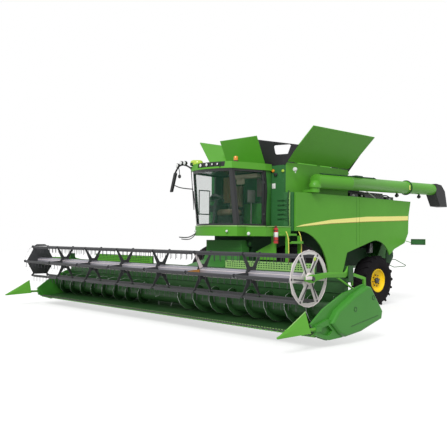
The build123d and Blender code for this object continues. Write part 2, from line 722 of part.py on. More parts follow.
landing_x = shield_face_x - 23
step_front_y = -900
with BuildPart() as platform:
    extrude(cab_plan(cab_base_z, screen_foot_y, grow=20), amount=cab_floor_z - cab_base_z, dir=(0, 0, 1))
    landing_rear = tank_front_y - bulkhead_thickness
    block((cab_half - 20, landing_x), (-1250, landing_rear), (cab_base_z + 20, cab_base_z + 70))
    block((cab_half - 20, landing_x), (-1250, -1225), (cab_base_z, cab_floor_z - 20))
    block((landing_x - 25, landing_x), (-1250, landing_rear), (cab_base_z, cab_floor_z - 20))
    block((landing_x - 30, landing_x + 180), (step_front_y, landing_rear + 30), (cab_base_z + 20, cab_base_z + 70))
    with BuildSketch(Plane.XZ.offset(-step_front_y - 30)) as guard:
        with BuildLine():
            Polyline((950, 1440), (950, 1640), (1480, 1865), (1480, cab_base_z + 30), (landing_x, cab_base_z + 30),
                     (landing_x, 1440), close=True)
        make_face()
    extrude(guard.sketch, amount=20)
finish(platform, "platform")

ladder_x = landing_x + 160
ladder_front_y = -700
ladder_rear_y = -240
step_count = 5
step_pitch = 330
with BuildPart() as ladder:
    for y in (ladder_front_y, ladder_rear_y):
        block((ladder_x, ladder_x + 90), (y - 15, y + 15), (520, cab_base_z + 20 - pin_gap))
    for n in range(step_count):
        z = 540 + step_pitch * n
        block((ladder_x, ladder_x + 200), (ladder_front_y + 15, ladder_rear_y - 15), (z, z + 35))
        block((ladder_x + 165, ladder_x + 200), (ladder_front_y + 15, ladder_rear_y - 15), (z + 35, z + 60))
finish(ladder, "ladder")

extinguisher_radius = 58
extinguisher_length = 380
extinguisher_neck = 50
extinguisher_below_door = 18
extinguisher_x = landing_x + 60
extinguisher_y = step_front_y - extinguisher_radius - pin_gap
neck_top_z = door_foot_z - extinguisher_below_door
neck_foot_z = neck_top_z - extinguisher_neck
with BuildPart() as extinguisher:
    rod((extinguisher_x, extinguisher_y, neck_foot_z - extinguisher_length),
        (extinguisher_x, extinguisher_y, neck_foot_z), extinguisher_radius)
    rod((extinguisher_x, extinguisher_y, neck_foot_z), (extinguisher_x, extinguisher_y, neck_top_z), 28)
finish(extinguisher, "extinguisher")

with BuildPart() as mirror_right:
    block((-mirror_seat_x - 30, -mirror_seat_x - pin_gap), (-1620, -1540), (cab_top_z + 60, cab_top_z + 140))
    bar((-mirror_seat_x - 15, -1580, cab_top_z + 100), (-1330, -1800, cab_top_z + 60), 50)
    bar((-1330, -1800, cab_top_z + 90), (-1330, -1800, cab_top_z - 60), 40)
    block((-1440, -1220), (-1830, -1780), (3200, 3710))
finish(mirror_right, "mirror_right")

with BuildPart() as lamps:
    for x, radius in roof_lamps:
        seat_y = roof_front(x, lamp_slot_depth)
        rod((x, seat_y + 20, lamp_height), (x, seat_y - 30, lamp_height), radius)
    add(cab_roof.part, mode=Mode.SUBTRACT)
    beacon_foot = cab_top_z + roof_thickness
    rod((650, -1350, beacon_foot), (650, -1350, beacon_foot + 40), 62)
    rod((650, -1350, beacon_foot + 40), (650, -1350, beacon_foot + 150), 50)
    rod((-600, -1560, beacon_foot), (-600, -1560, beacon_foot + 40), 150)
    with Locations((-600, -1560, beacon_foot + 40)):
        Cylinder(130, 90, align=(Align.CENTER, Align.CENTER, Align.MIN))
    fillet(lamps.edges().filter_by(GeomType.CIRCLE).group_by(Axis.Z)[-1], 40)
finish(lamps, "lamps")

# ---------------------------------------------------------------- unloading auger
spigot_top_z = unloader_z - unloader_radius - 30


def on_tube(y):
    """Height of the unloading tube's middle at a place along it."""
    return unloader_z + unloader_rise * (y - unloader_y) / (unloader_rear_y - unloader_y)


with BuildPart() as auger_turret:
    block((tank_half, unloader_x), (unloader_y - spigot_radius, unloader_y + spigot_radius), (3215, 3290))
    rod((unloader_x, unloader_y, 3215), (unloader_x, unloader_y, spigot_top_z), spigot_radius)
finish(auger_turret, "auger_turret")

with BuildPart() as unloader:
    tube_front_y = unloader_y - spigot_radius - 15
    rod((unloader_x, unloader_y, spigot_top_z + running_gap), (unloader_x, unloader_y, unloader_z), spigot_radius)
    rod((unloader_x, tube_front_y, on_tube(tube_front_y)), (unloader_x, unloader_flange_y, on_tube(unloader_flange_y)),
        unloader_radius)
    rod((unloader_x, tube_front_y, on_tube(tube_front_y)), (unloader_x, tube_front_y + 40, on_tube(tube_front_y + 40)),
        unloader_radius + 15)
    rod((unloader_x, unloader_flange_y - 25, on_tube(unloader_flange_y - 25)),
        (unloader_x, unloader_flange_y + 25, on_tube(unloader_flange_y + 25)), unloader_radius + 40)
    rod((unloader_x, unloader_flange_y, on_tube(unloader_flange_y)),
        (unloader_x, unloader_rear_y, on_tube(unloader_rear_y)), 183)
    # hydraulic line on brackets along the top
    line_z = unloader_radius + 22
    rod((unloader_x, 700, on_tube(700) + line_z), (unloader_x, 3300, on_tube(3300) + line_z), 18)
    for y in (760, 1600, 2400, 3240):
        block((unloader_x - 20, unloader_x + 20), (y - 20, y + 20),
              (on_tube(y) + unloader_radius - 15, on_tube(y) + line_z))
    for y in (4500, 5750):
        block((unloader_x - 25, unloader_x + 25), (y - 25, y + 25), (on_tube(y) - 240, on_tube(y) - 150))
finish(unloader, "unloader")

spout_z = unloader_z + unloader_rise
with BuildPart() as spout:
    across([(unloader_rear_y, spout_z + 183), (unloader_rear_y + 330, spout_z + 150),
            (unloader_rear_y + 560, spout_z - 40), (spout_rear_y, spout_z - 560),
            (unloader_rear_y + 250, spout_z - 545), (unloader_rear_y, spout_z - 183)], 183, offset=unloader_x)
    fillet(spout.edges().filter_by(Axis.X).sort_by(Axis.Z)[-4:-1], 60)
    add(unloader.part, mode=Mode.SUBTRACT)
finish(spout, "unloader_spout")

# ---------------------------------------------------------------- feeder house and header
drum_face_y = -1150
feeder_outline = [(-1000, 1930), (drum_face_y, 1930), (drum_face_y, 1640), (drum_face_y - 100, 1400),
                  (back_y + 60, beam_z - 120), (back_y + 60, 480), (-960, 1150), (-880, 1200), (-880, 1800)]
with BuildPart() as feeder_house:
    across(feeder_outline, feeder_half)
    for z in (1860, 1780, 1700):
        block((-feeder_half + 30, feeder_half - 30), (drum_face_y - 22, drum_face_y), (z - 16, z + 16))
    for side in (1, -1):
        rod((side * feeder_half, feeder_pivot_y, feeder_pivot_z),
            (side * chassis_half, feeder_pivot_y, feeder_pivot_z), feeder_pin_radius)
        block(sorted((side * (feeder_half - 50), side * (cylinder_x - 42))), (rod_eye[0] - 70, rod_eye[0] + 70),
              (rod_eye[1] - 60, rod_eye[1] + 160))
finish(feeder_house, "feeder_house")

raised_plates = ((1750, header_half - 750), (1400 - header_half, -1000))
plate_top_z = 1500
trough_radius = back_y - auger_y
outer_radius = trough_radius + header_wall
with BuildPart() as header_frame:
    with BuildSketch(Plane.YZ) as trough:
        with BuildLine():
            inner_back = Line((back_y, beam_z), (back_y, auger_z))
            inner_arc = CenterArc((auger_y, auger_z), trough_radius, 0, -90)
            floor = Line(inner_arc @ 1, (knife_y + 60, knife_z))
            lip = Line(floor @ 1, (knife_y + 60, knife_z - 40))
            underside = Line(lip @ 1, (auger_y, auger_z - outer_radius))
            outer_arc = CenterArc((auger_y, auger_z), outer_radius, -90, 90)
            outer_back = Line(outer_arc @ 1, (back_y + header_wall, beam_z))
            Line(outer_back @ 1, inner_back @ 0)
        make_face()
    extrude(trough.sketch, amount=header_half, both=True)
    block((-header_half, header_half), (back_y - 30, back_y + 110), (beam_z, beam_z + beam_size))
    for low, high in raised_plates:
        block((low, high), (back_y, back_y + 30), (beam_z + beam_size, plate_top_z))
    for side in (1, -1):
        for x in (arm_x - 52, arm_x + 29):
            block(sorted((side * x, side * (x + 22))), (back_y - 30, arm_pivot_y + 60), (beam_z, arm_pivot_z + 60))
        rod((side * (arm_x - 40), arm_pivot_y, arm_pivot_z), (side * (arm_x + 40), arm_pivot_y, arm_pivot_z), 25)
        block(sorted((side * (header_half - 60), side * (arm_x + 51))), (back_y - 30, back_y + 110),
              (beam_z, beam_z + 60))
finish(header_frame, "header_frame")

finger_pitch = 152
finger_count = int(2 * (header_half - 60) / finger_pitch)
with BuildPart() as cutterbar:
    block((-header_half, header_half), (knife_y - 10, knife_y + 60), (knife_z - 40, knife_z))
    with Locations(*[(finger_pitch * (n - (finger_count - 1) / 2), knife_y - 10, knife_z - 15)
                     for n in range(finger_count)]):
        Box(24, 100, 22, align=(Align.CENTER, Align.MAX, Align.CENTER))
finish(cutterbar, "cutterbar")

end_outline = [(-3855, 456), (-3500, 700), (-2900, 960), (-2212, 1114), (-1900, 830), (-1690, 548), (-1700, 364),
               (-3405, 122), (-3625, 187)]
end_x = arm_x - 24
divider_x = header_half + 85
divider_seat_y = -3800
end_sheet = 45
shield_bulge = 125
bulge_outline = [(-3403, 440), (-3194, 674), (-2694, 927), (-2249, 1085), (-2130, 1070), (-1720, 565), (-1760, 392),
                 (-2461, 200), (-2943, 145), (-3145, 215)]
shoe_outline = [(-3785, 260), (-3780, 430), (-3420, 520), (-3120, 420), (-3000, 150), (-3405, 135), (-3600, 190)]
shoe_hollow = [(-3700, 300), (-3650, 370), (-3430, 410), (-3300, 300), (-3400, 220), (-3560, 240)]
with BuildPart() as header_ends:
    for side in (1, -1):
        face = header_half + pin_gap
        with BuildSketch(Plane.YZ.offset(side * face)) as sheet:
            with BuildLine():
                Polyline(*end_outline, close=True)
            make_face()
        extrude(sheet.sketch, amount=side * end_sheet)
        with BuildSketch(Plane.YZ.offset(side * (face + end_sheet))) as shoe:
            with BuildLine():
                Polyline(*shoe_outline, close=True)
            make_face()
            with BuildLine():
                Polyline(*shoe_hollow, close=True)
            make_face(mode=Mode.SUBTRACT)
        extrude(shoe.sketch, amount=side * 60)
        with BuildSketch(Plane.YZ.offset(side * (face + end_sheet))) as bulge:
            with BuildLine():
                Polyline(*bulge_outline, close=True)
            make_face()
        extrude(bulge.sketch, amount=side * shield_bulge, taper=9)
        outer = header_ends.faces().sort_by(Axis.X)[-1 if side > 0 else 0]
        fillet(outer.edges(), 55)
        with BuildSketch(Plane.YZ.offset(side * header_half)) as bore:
            with Locations((auger_y, auger_z)):
                Circle(auger_stub_radius + pin_gap)
        extrude(bore.sketch, amount=side * 70, mode=Mode.SUBTRACT)
        block(sorted((side * (divider_x - 45), side * (divider_x + 45))), (divider_seat_y, divider_seat_y + 150),
              (320, 410))
finish(header_ends, "header_ends")

with BuildPart() as dividers:
    for side in (1, -1):
        with BuildSketch(Plane.XZ.offset(-nose_tip_y)) as tip:
            with Locations((side * divider_x, 305)):
                Rectangle(40, 30)
        with BuildSketch(Plane.XZ.offset(4060)) as heel:
            with BuildLine():
                Polyline((side * (divider_x - 130), 330), (side * (divider_x + 130), 330), (side * divider_x, 700),
                         close=True)
            make_face()
        loft([tip.sketch, heel.sketch])
        rod((side * divider_x, -4060, 365), (side * divider_x, divider_seat_y - pin_gap, 365), 30)
finish(dividers, "dividers")


def flight(start_x, end_x, hand):
    """A flat screw flight as one ruled loft through narrow upright sections."""
    pitch = 550
    steps = 12
    root = (auger_tube_radius + pin_gap) / cos(pi / steps)
    count = int(abs(end_x - start_x) / pitch * steps)
    sections = []
    for n in range(count + 1):
        x = start_x + (end_x - start_x) * n / count
        turn = hand * 2 * pi * n / steps
        outward = Vector(0, sin(turn), cos(turn))
        plane = Plane(origin=(x, auger_y, auger_z), x_dir=outward, z_dir=Vector(1, 0, 0).cross(outward))
        with BuildSketch(plane) as section:
            with Locations(((root + auger_radius) / 2, 0)):
                Rectangle(auger_radius - root, 12)
        sections.append(section.sketch)
    loft(sections, ruled=True)


with BuildPart() as header_auger:
    rod((-header_half + 20, auger_y, auger_z), (header_half - 20, auger_y, auger_z), auger_tube_radius)
    rod((-header_half - 60, auger_y, auger_z), (header_half + 60, auger_y, auger_z), auger_stub_radius)
    flight(-header_half + 60, -700, 1)
    flight(header_half - 60, 700, 1)
finish(header_auger, "header_auger")

# ---------------------------------------------------------------- reel
bay = 2 * reel_half / bay_count
bat_angles = [360 / bat_count * n for n in range(bat_count)]
shaft_radius = 38


def around(points, angle):
    """Points of the reel's side view, turned about its middle."""
    turn = radians(angle)
    return [(x * cos(turn) - y * sin(turn), x * sin(turn) + y * cos(turn)) for x, y in points]


with BuildPart() as reel:
    rod((-reel_half, reel_y, reel_z), (reel_half, reel_y, reel_z), reel_tube_radius)
    rod((-arm_x - 40, reel_y, reel_z), (arm_x + 40, reel_y, reel_z), shaft_radius)
    stations = [Plane.YZ.offset(-reel_half + bay * n - spider_thickness / 2) for n in range(bay_count)]
    stations = [Plane(origin=(p.origin.X, reel_y, reel_z), x_dir=(0, 1, 0), z_dir=(1, 0, 0)) for p in stations]
    with BuildSketch(*stations) as spiders:
        Circle(reel_tube_radius + 70)
        for angle in bat_angles:
            with BuildLine():
                Polyline(*around([(0, spider_root), (reel_radius, spider_tip), (reel_radius, -spider_tip),
                                  (0, -spider_root)], angle), close=True)
            make_face()
        with PolarLocations(reel_radius, bat_count):
            Circle(38)
        with PolarLocations(reel_radius, bat_count):
            Circle(bat_tube_radius + pin_gap, mode=Mode.SUBTRACT)
    extrude(spiders.sketch, amount=spider_thickness)
finish(reel, "reel")

with BuildPart() as reel_disc:
    plane = Plane(origin=(reel_half - spider_thickness / 2, reel_y, reel_z), x_dir=(0, 1, 0), z_dir=(1, 0, 0))
    with BuildSketch(plane) as face:
        RegularPolygon(reel_radius + 45, 12)
        Circle(reel_tube_radius + pin_gap, mode=Mode.SUBTRACT)
        for angle in bat_angles:
            with BuildLine():
                Polyline(*around([(185, 62), (430, 178), (445, 0), (430, -178), (185, -62)], angle + 30), close=True)
            make_face(mode=Mode.SUBTRACT)
        with PolarLocations(reel_radius, bat_count):
            Circle(bat_tube_radius + pin_gap, mode=Mode.SUBTRACT)
    extrude(face.sketch, amount=spider_thickness)
finish(reel_disc, "reel_disc")

tine_count = bay_count * tines_per_bay
for n, angle in enumerate(bat_angles):
    bat_y = reel_y + reel_radius * cos(radians(angle))
    bat_z = reel_z + reel_radius * sin(radians(angle))
    with BuildPart() as bat:
        rod((-reel_half - 12, bat_y, bat_z), (reel_half + 12, bat_y, bat_z), bat_tube_radius)
        with Locations(*[(-reel_half + bay * (k + 0.5) / tines_per_bay, bat_y, bat_z - tine_length / 2)
                         for k in range(tine_count)]):
            Box(9, 9, tine_length)
        with Locations(*[(-reel_half + bay * (k + 0.5), bat_y, bat_z - 22) for k in range(bay_count)]):
            Box(bay - 140, 14, 50)
    finish(bat, f"bat_{n + 1}")

with BuildPart() as reel_arms:
    reach = Vector(0, reel_y - arm_pivot_y, reel_z - arm_pivot_z)
    for side in (1, -1):
        start = (side * (arm_x - 24), 0, 0)
        with BuildSketch(Plane.YZ.offset(side * (arm_x - 24))) as arm:
            with BuildLine():
                Polyline((arm_pivot_y + 50, arm_pivot_z - 50), (arm_pivot_y + 50, arm_pivot_z + 50),
                         (arm_pivot_y, arm_pivot_z + 60), (reel_y, reel_z + 60), (reel_y - 190, reel_z + 50),
                         (reel_y - 190, reel_z - 30), (reel_y, reel_z - 60), (arm_pivot_y, arm_pivot_z - 60),
                         close=True)
            make_face()
            with Locations((reel_y, reel_z)):
                Circle(shaft_radius + pin_gap, mode=Mode.SUBTRACT)
            with Locations((arm_pivot_y, arm_pivot_z)):
                Circle(25 + pin_gap, mode=Mode.SUBTRACT)
        extrude(arm.sketch, amount=side * 48)
finish(reel_arms, "reel_arms")

# ---------------------------------------------------------------- feeder lift cylinders
with BuildPart() as lift_barrels:
    for side in (1, -1):
        foot = Vector(side * cylinder_x, *barrel_foot)
        rod(foot + cylinder_way * 100, foot + cylinder_way * barrel_length, 60)
        bar(foot, foot + cylinder_way * 110, 60)
        rod((side * (cylinder_x - 35), *barrel_foot), (side * (cylinder_x + 35), *barrel_foot), 70)
        with BuildSketch(Plane(origin=foot + cylinder_way * 90, z_dir=cylinder_way)) as bore:
            Circle(lift_rod_radius + running_gap)
        extrude(bore.sketch, amount=barrel_length, mode=Mode.SUBTRACT)
        with BuildSketch(Plane.YZ.offset(side * (cylinder_x - 100))) as eye:
            with Locations(barrel_foot):
                Circle(lift_pin_radius + pin_gap)
        extrude(eye.sketch, amount=side * 200, mode=Mode.SUBTRACT)
finish(lift_barrels, "lift_barrels")

with BuildPart() as lift_rods:
    for side in (1, -1):
        eye = Vector(side * cylinder_x, *rod_eye)
        rod(eye - cylinder_way * (cylinder_run.length - barrel_length + 500), eye - cylinder_way * 20, lift_rod_radius)
        rod((side * (cylinder_x - 30), *rod_eye), (side * (cylinder_x + 30), *rod_eye), 50)
finish(lift_rods, "lift_rods")
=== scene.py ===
import bpy, json
from math import cos, sin, radians, pi
from mathutils import Vector, Matrix

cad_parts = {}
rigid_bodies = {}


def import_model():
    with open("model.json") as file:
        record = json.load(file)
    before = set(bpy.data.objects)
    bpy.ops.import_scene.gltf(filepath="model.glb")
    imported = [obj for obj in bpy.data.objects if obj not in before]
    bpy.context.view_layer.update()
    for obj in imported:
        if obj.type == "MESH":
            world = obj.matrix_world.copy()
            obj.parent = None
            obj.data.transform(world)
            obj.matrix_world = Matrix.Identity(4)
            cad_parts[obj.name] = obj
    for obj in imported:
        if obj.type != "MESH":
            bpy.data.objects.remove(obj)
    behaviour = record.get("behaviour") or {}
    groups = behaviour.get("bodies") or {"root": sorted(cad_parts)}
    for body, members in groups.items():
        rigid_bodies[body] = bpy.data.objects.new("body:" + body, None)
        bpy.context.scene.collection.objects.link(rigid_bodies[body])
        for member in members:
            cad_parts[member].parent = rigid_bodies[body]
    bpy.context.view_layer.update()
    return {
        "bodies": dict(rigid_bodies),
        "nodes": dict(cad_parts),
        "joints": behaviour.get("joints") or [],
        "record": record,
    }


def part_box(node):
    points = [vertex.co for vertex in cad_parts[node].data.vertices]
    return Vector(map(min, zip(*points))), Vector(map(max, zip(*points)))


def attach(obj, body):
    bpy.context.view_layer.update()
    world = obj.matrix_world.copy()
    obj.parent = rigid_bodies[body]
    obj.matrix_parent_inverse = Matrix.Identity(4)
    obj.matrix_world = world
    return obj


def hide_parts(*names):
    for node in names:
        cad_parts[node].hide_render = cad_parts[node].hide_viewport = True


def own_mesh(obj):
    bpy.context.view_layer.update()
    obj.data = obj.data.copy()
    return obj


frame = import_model()
nodes = frame["nodes"]
print("frame loaded:", len(nodes), "nodes")

# places below are measured from the front axle, on the ground
rimLow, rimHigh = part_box("rim_front_left")
axleY = (rimLow.y + rimHigh.y) / 2


def at(x, y, z):
    return Vector((x, y + axleY, z))


# ---- materials
def startGroup(name, inputs, outputs):
    group = bpy.data.node_groups.new(name, "ShaderNodeTree")
    for label, kind, value in inputs:
        socket = group.interface.new_socket(name=label, in_out="INPUT", socket_type=kind)
        socket.default_value = value
    for label, kind in outputs:
        group.interface.new_socket(name=label, in_out="OUTPUT", socket_type=kind)
    return group, group.nodes.new("NodeGroupInput"), group.nodes.new("NodeGroupOutput")


def addNode(tree, kind, **values):
    node = tree.nodes.new(kind)
    for key, value in values.items():
        if hasattr(node, key):
            setattr(node, key, value)
        else:
            node.inputs[key].default_value = value
    return node


def feed(tree, socket, value):
    if hasattr(value, "is_output"):
        tree.links.new(value, socket)
    else:
        socket.default_value = value


def maths(tree, operation, *values, clamp=False):
    node = addNode(tree, "ShaderNodeMath", operation=operation, use_clamp=clamp)
    for socket, value in zip(node.inputs, values):
        feed(tree, socket, value)
    return node.outputs[0]


def mixColours(tree, a, b, factor):
    mix = addNode(tree, "ShaderNodeMix", data_type="RGBA", blend_type="MIX")
    for socket, value in ((mix.inputs[6], a), (mix.inputs[7], b), (mix.inputs[0], factor)):
        feed(tree, socket, value)
    return mix.outputs[2]


def spread(tree, value, *limits):
    ramp = addNode(tree, "ShaderNodeMapRange", clamp=True)
    for label, level in zip(("Value", "From Min", "From Max", "To Min", "To Max"), (value, *limits)):
        feed(tree, ramp.inputs[label], level)
    return ramp.outputs["Result"]


# paint with slight unevenness, dust low down (on the reel disc a dark painted shade towards the bottom) and fine
# orange peel
wearAndShadeGroup, groupIn, groupOut = startGroup("fieldWearAndShade", [("Colour", "NodeSocketColor", (0.5, 0.5, 0.5, 1)),
                                                      ("Dust And Shade Colour", "NodeSocketColor", (0.33, 0.29, 0.2, 1)),
                                                      ("Dust And Shade", "NodeSocketFloat", 0.2),
                                                      ("Dust And Shade Height", "NodeSocketFloat", 1.2),
                                                      ("Unevenness", "NodeSocketFloat", 0.1),
                                                      ("Roughness", "NodeSocketFloat", 0.35),
                                                      ("Grain Scale", "NodeSocketFloat", 90.0)],
                                        [("Colour", "NodeSocketColor"), ("Roughness", "NodeSocketFloat"),
                                         ("Height", "NodeSocketFloat")])
link = wearAndShadeGroup.links.new
wear = groupIn.outputs
coords = addNode(wearAndShadeGroup, "ShaderNodeTexCoord").outputs["Object"]
broad = addNode(wearAndShadeGroup, "ShaderNodeTexNoise", Scale=0.9, Detail=4.0, Roughness=0.55)
link(coords, broad.inputs["Vector"])
fine = addNode(wearAndShadeGroup, "ShaderNodeTexNoise", Detail=3.0, Roughness=0.6)
link(coords, fine.inputs["Vector"])
link(wear["Grain Scale"], fine.inputs["Scale"])
parts = addNode(wearAndShadeGroup, "ShaderNodeSeparateXYZ")
link(coords, parts.inputs[0])
# dust (on the reel disc, painted shade) fades with height and breaks up with the noise
lowDown = spread(wearAndShadeGroup, maths(wearAndShadeGroup, "DIVIDE", parts.outputs["Z"], wear["Dust And Shade Height"]), 0.0, 1.0, 1.0, 0.0)
patchy = spread(wearAndShadeGroup, broad.outputs["Fac"], 0.35, 0.65, 0.25, 1.0)
dustAndShadeAmount = maths(wearAndShadeGroup, "MULTIPLY", maths(wearAndShadeGroup, "MULTIPLY", lowDown, patchy), wear["Dust And Shade"])
shade = spread(wearAndShadeGroup, broad.outputs["Fac"], 0.3, 0.7, -0.5, 0.5)
lift = maths(wearAndShadeGroup, "ADD", maths(wearAndShadeGroup, "MULTIPLY", shade, wear["Unevenness"]), 1.0)
tinted = addNode(wearAndShadeGroup, "ShaderNodeVectorMath", operation="SCALE")
link(wear["Colour"], tinted.inputs[0])
link(lift, tinted.inputs["Scale"])
link(mixColours(wearAndShadeGroup, tinted.outputs[0], wear["Dust And Shade Colour"], dustAndShadeAmount), groupOut.inputs["Colour"])
roughBase = maths(wearAndShadeGroup, "MULTIPLY_ADD", fine.outputs["Fac"], 0.08, wear["Roughness"])
rougher = maths(wearAndShadeGroup, "MULTIPLY_ADD", dustAndShadeAmount, 0.45, roughBase, clamp=True)
link(rougher, groupOut.inputs["Roughness"])
link(fine.outputs["Fac"], groupOut.inputs["Height"])


def wornMaterial(name, colour, roughness=0.35, metallic=0.0, dustAndShade=0.15, dustAndShadeHeight=1.4, unevenness=0.12,
                 grain=90.0, bump=0.0008, coat=0.0, specular=0.5, dustAndShadeColour=(0.34, 0.30, 0.21)):
    material = bpy.data.materials.new(name)
    material.use_nodes = True
    tree = material.node_tree
    shader = tree.nodes["Principled BSDF"]
    wear = addNode(tree, "ShaderNodeGroup", node_tree=wearAndShadeGroup)
    values = ((*colour, 1), (*dustAndShadeColour, 1), dustAndShade, dustAndShadeHeight, unevenness, roughness, grain)
    for socket, value in zip(wear.inputs, values):
        socket.default_value = value
    looks = {"Base Color": wear.outputs["Colour"], "Roughness": wear.outputs["Roughness"], "Metallic": metallic,
             "Coat Weight": coat, "Coat Roughness": 0.12, "Specular IOR Level": specular}
    for label, value in looks.items():
        feed(tree, shader.inputs[label], value)
    lumps = addNode(tree, "ShaderNodeBump", Distance=bump, Strength=0.6)
    tree.links.new(wear.outputs["Height"], lumps.inputs["Height"])
    tree.links.new(lumps.outputs["Normal"], shader.inputs["Normal"])
    return material


bodyGreen = wornMaterial("bodyGreen", (0.105, 0.375, 0.032), 0.42, coat=0.04, specular=0.22, dustAndShade=0.06)
# painted shade: a darker copy of the body green for faces that sit in shadow
paintedShadeGreen = wornMaterial("paintedShadeGreen", (0.045, 0.20, 0.035), 0.45, coat=0.04, specular=0.22, dustAndShade=0.08)
darkGreen = wornMaterial("darkGreen", (0.022, 0.075, 0.028), 0.5, specular=0.2, dustAndShade=0.10)
rimYellow = wornMaterial("rimYellow", (0.98, 0.66, 0.006), 0.38, coat=0.1, specular=0.25, dustAndShade=0.03)
railYellow = wornMaterial("railYellow", (0.72, 0.62, 0.12), 0.4, dustAndShade=0.1)
tyreRubber = wornMaterial("tyreRubber", (0.008, 0.007, 0.009), 0.75, specular=0.12, dustAndShade=0.035, dustAndShadeHeight=2.0,
                          unevenness=0.2, grain=60.0)
blackPaint = wornMaterial("blackPaint", (0.018, 0.020, 0.021), 0.3, coat=0.2, dustAndShade=0.06)
blackPlastic = wornMaterial("blackPlastic", (0.022, 0.023, 0.024), 0.55, dustAndShade=0.05, grain=400)
reelDark = wornMaterial("reelDark", (0.035, 0.036, 0.040), 0.42, dustAndShade=0.08, unevenness=0.25)
# painted shade: the disc's strong dark brown low-down tint darkens it towards the bottom
discGreyShadedBelow = wornMaterial("discGreyShadedBelow", (0.66, 0.64, 0.62), 0.5, specular=0.2, dustAndShade=0.85, dustAndShadeHeight=1.7,
                        unevenness=0.2, dustAndShadeColour=(0.10, 0.07, 0.05))
engineIron = wornMaterial("engineIron", (0.05, 0.055, 0.05), 0.6, dustAndShade=0.2, dustAndShadeHeight=5)
steelWorn = wornMaterial("steelWorn", (0.34, 0.34, 0.33), 0.38, metallic=0.8, dustAndShade=0.2)
chromeRod = wornMaterial("chromeRod", (0.78, 0.78, 0.78), 0.12, metallic=1.0, dustAndShade=0.05)
redPaint = wornMaterial("redPaint", (0.55, 0.022, 0.018), 0.25, coat=0.4, dustAndShade=0.03)
whitePaint = wornMaterial("whitePaint", (0.82, 0.82, 0.80), 0.35, dustAndShade=0.03)
stripeYellow = wornMaterial("stripeYellow", (0.99, 0.92, 0.30), 0.4, specular=0.25, dustAndShade=0.0, unevenness=0.04)
stripeEdge = wornMaterial("stripeEdge", (0.32, 0.22, 0.03), 0.4, dustAndShade=0.04)
sheetBlack = wornMaterial("sheetBlack", (0.012, 0.012, 0.014), 0.65, dustAndShade=0.02, grain=300)
seatCloth = wornMaterial("seatCloth", (0.17, 0.125, 0.085), 0.9, dustAndShade=0.0, grain=500, bump=0.002)
# painted light: the tan panel, curtain and blind are made lighter to stand in for the light the dim cab lacks
tanPanel = wornMaterial("tanPanel", (0.66, 0.58, 0.42), 0.7, dustAndShade=0.0, grain=300)
greyPanel = wornMaterial("greyPanel", (0.16, 0.15, 0.14), 0.6, dustAndShade=0.0, grain=300)
# painted highlight: a pale green for lit edges and faces (sill edges, the landing post, the lip's top line, the
# near punched plate, the divider ridges)
paintedHighlightGreen = wornMaterial("paintedHighlightGreen", (0.30, 0.56, 0.16), 0.35, coat=0.2, dustAndShade=0.05)
curtainCloth = wornMaterial("curtainCloth", (0.26, 0.15, 0.08), 0.9, dustAndShade=0.0, grain=420, bump=0.002)
blindCloth = wornMaterial("blindCloth", (0.15, 0.09, 0.10), 0.85, dustAndShade=0.0, grain=420, bump=0.001)


def paneMaterial(name, colour, alpha):
    material = bpy.data.materials.new(name)
    material.use_nodes = True
    tree = material.node_tree
    shader = tree.nodes["Principled BSDF"]
    coords = addNode(tree, "ShaderNodeTexCoord")
    film = addNode(tree, "ShaderNodeTexNoise", Scale=2.0, Detail=3.0)
    tree.links.new(coords.outputs["Object"], film.inputs["Vector"])
    tree.links.new(spread(tree, film.outputs["Fac"], 0.3, 0.7, 0.02, 0.08), shader.inputs["Roughness"])
    for label, value in (("Base Color", (*colour, 1)), ("Alpha", alpha), ("Specular IOR Level", 0.15)):
        shader.inputs[label].default_value = value
    return material


cabPane = paneMaterial("cabPane", (0.05, 0.17, 0.10), 0.11)
tubeGreen = wornMaterial("tubeGreen", (0.105, 0.375, 0.032), 0.36, coat=0.10, specular=0.25, dustAndShade=0.02)
# painted shade: the tank bulkhead behind the cab is given the dark green it shows in shadow
paintedShadeWallGreen = wornMaterial("paintedShadeWallGreen", (0.035, 0.155, 0.045), 0.45, specular=0.2, dustAndShade=0.03)
# painted shade: a deep dark green for the header trough and auger under the reel, the back beads and the end
# shields' recessed fasteners and crease
paintedDeepShadeGreen = wornMaterial("paintedDeepShadeGreen", (0.020, 0.085, 0.020), 0.4, coat=0.1, specular=0.25, dustAndShade=0.05)
# painted highlight: a lighter copy of the body green for the lit cutterbar lip
lipHighlightGreen = wornMaterial("lipHighlightGreen", (0.16, 0.46, 0.09), 0.4, coat=0.1, specular=0.25, dustAndShade=0.03)
# painted shade: a darker copy of the body green for the header end shields
endShadeGreen = wornMaterial("endShadeGreen", (0.050, 0.26, 0.028), 0.34, coat=0.10, specular=0.25, dustAndShade=0.03)
markerGreen = wornMaterial("markerGreen", (0.05, 0.16, 0.06), 0.25, coat=0.3, specular=0.3, dustAndShade=0.02)
galvanised = wornMaterial("galvanised", (0.42, 0.44, 0.43), 0.35, metallic=0.7, dustAndShade=0.05)
# painted highlight: a pale glossy lilac that stands in for the reel tube's sheen
paintedSheenLilac = wornMaterial("paintedSheenLilac", (0.30, 0.29, 0.33), 0.22, coat=0.5, specular=0.5, dustAndShade=0.0)
hubWhite = wornMaterial("hubWhite", (0.78, 0.70, 0.70), 0.4, specular=0.3, dustAndShade=0.03)
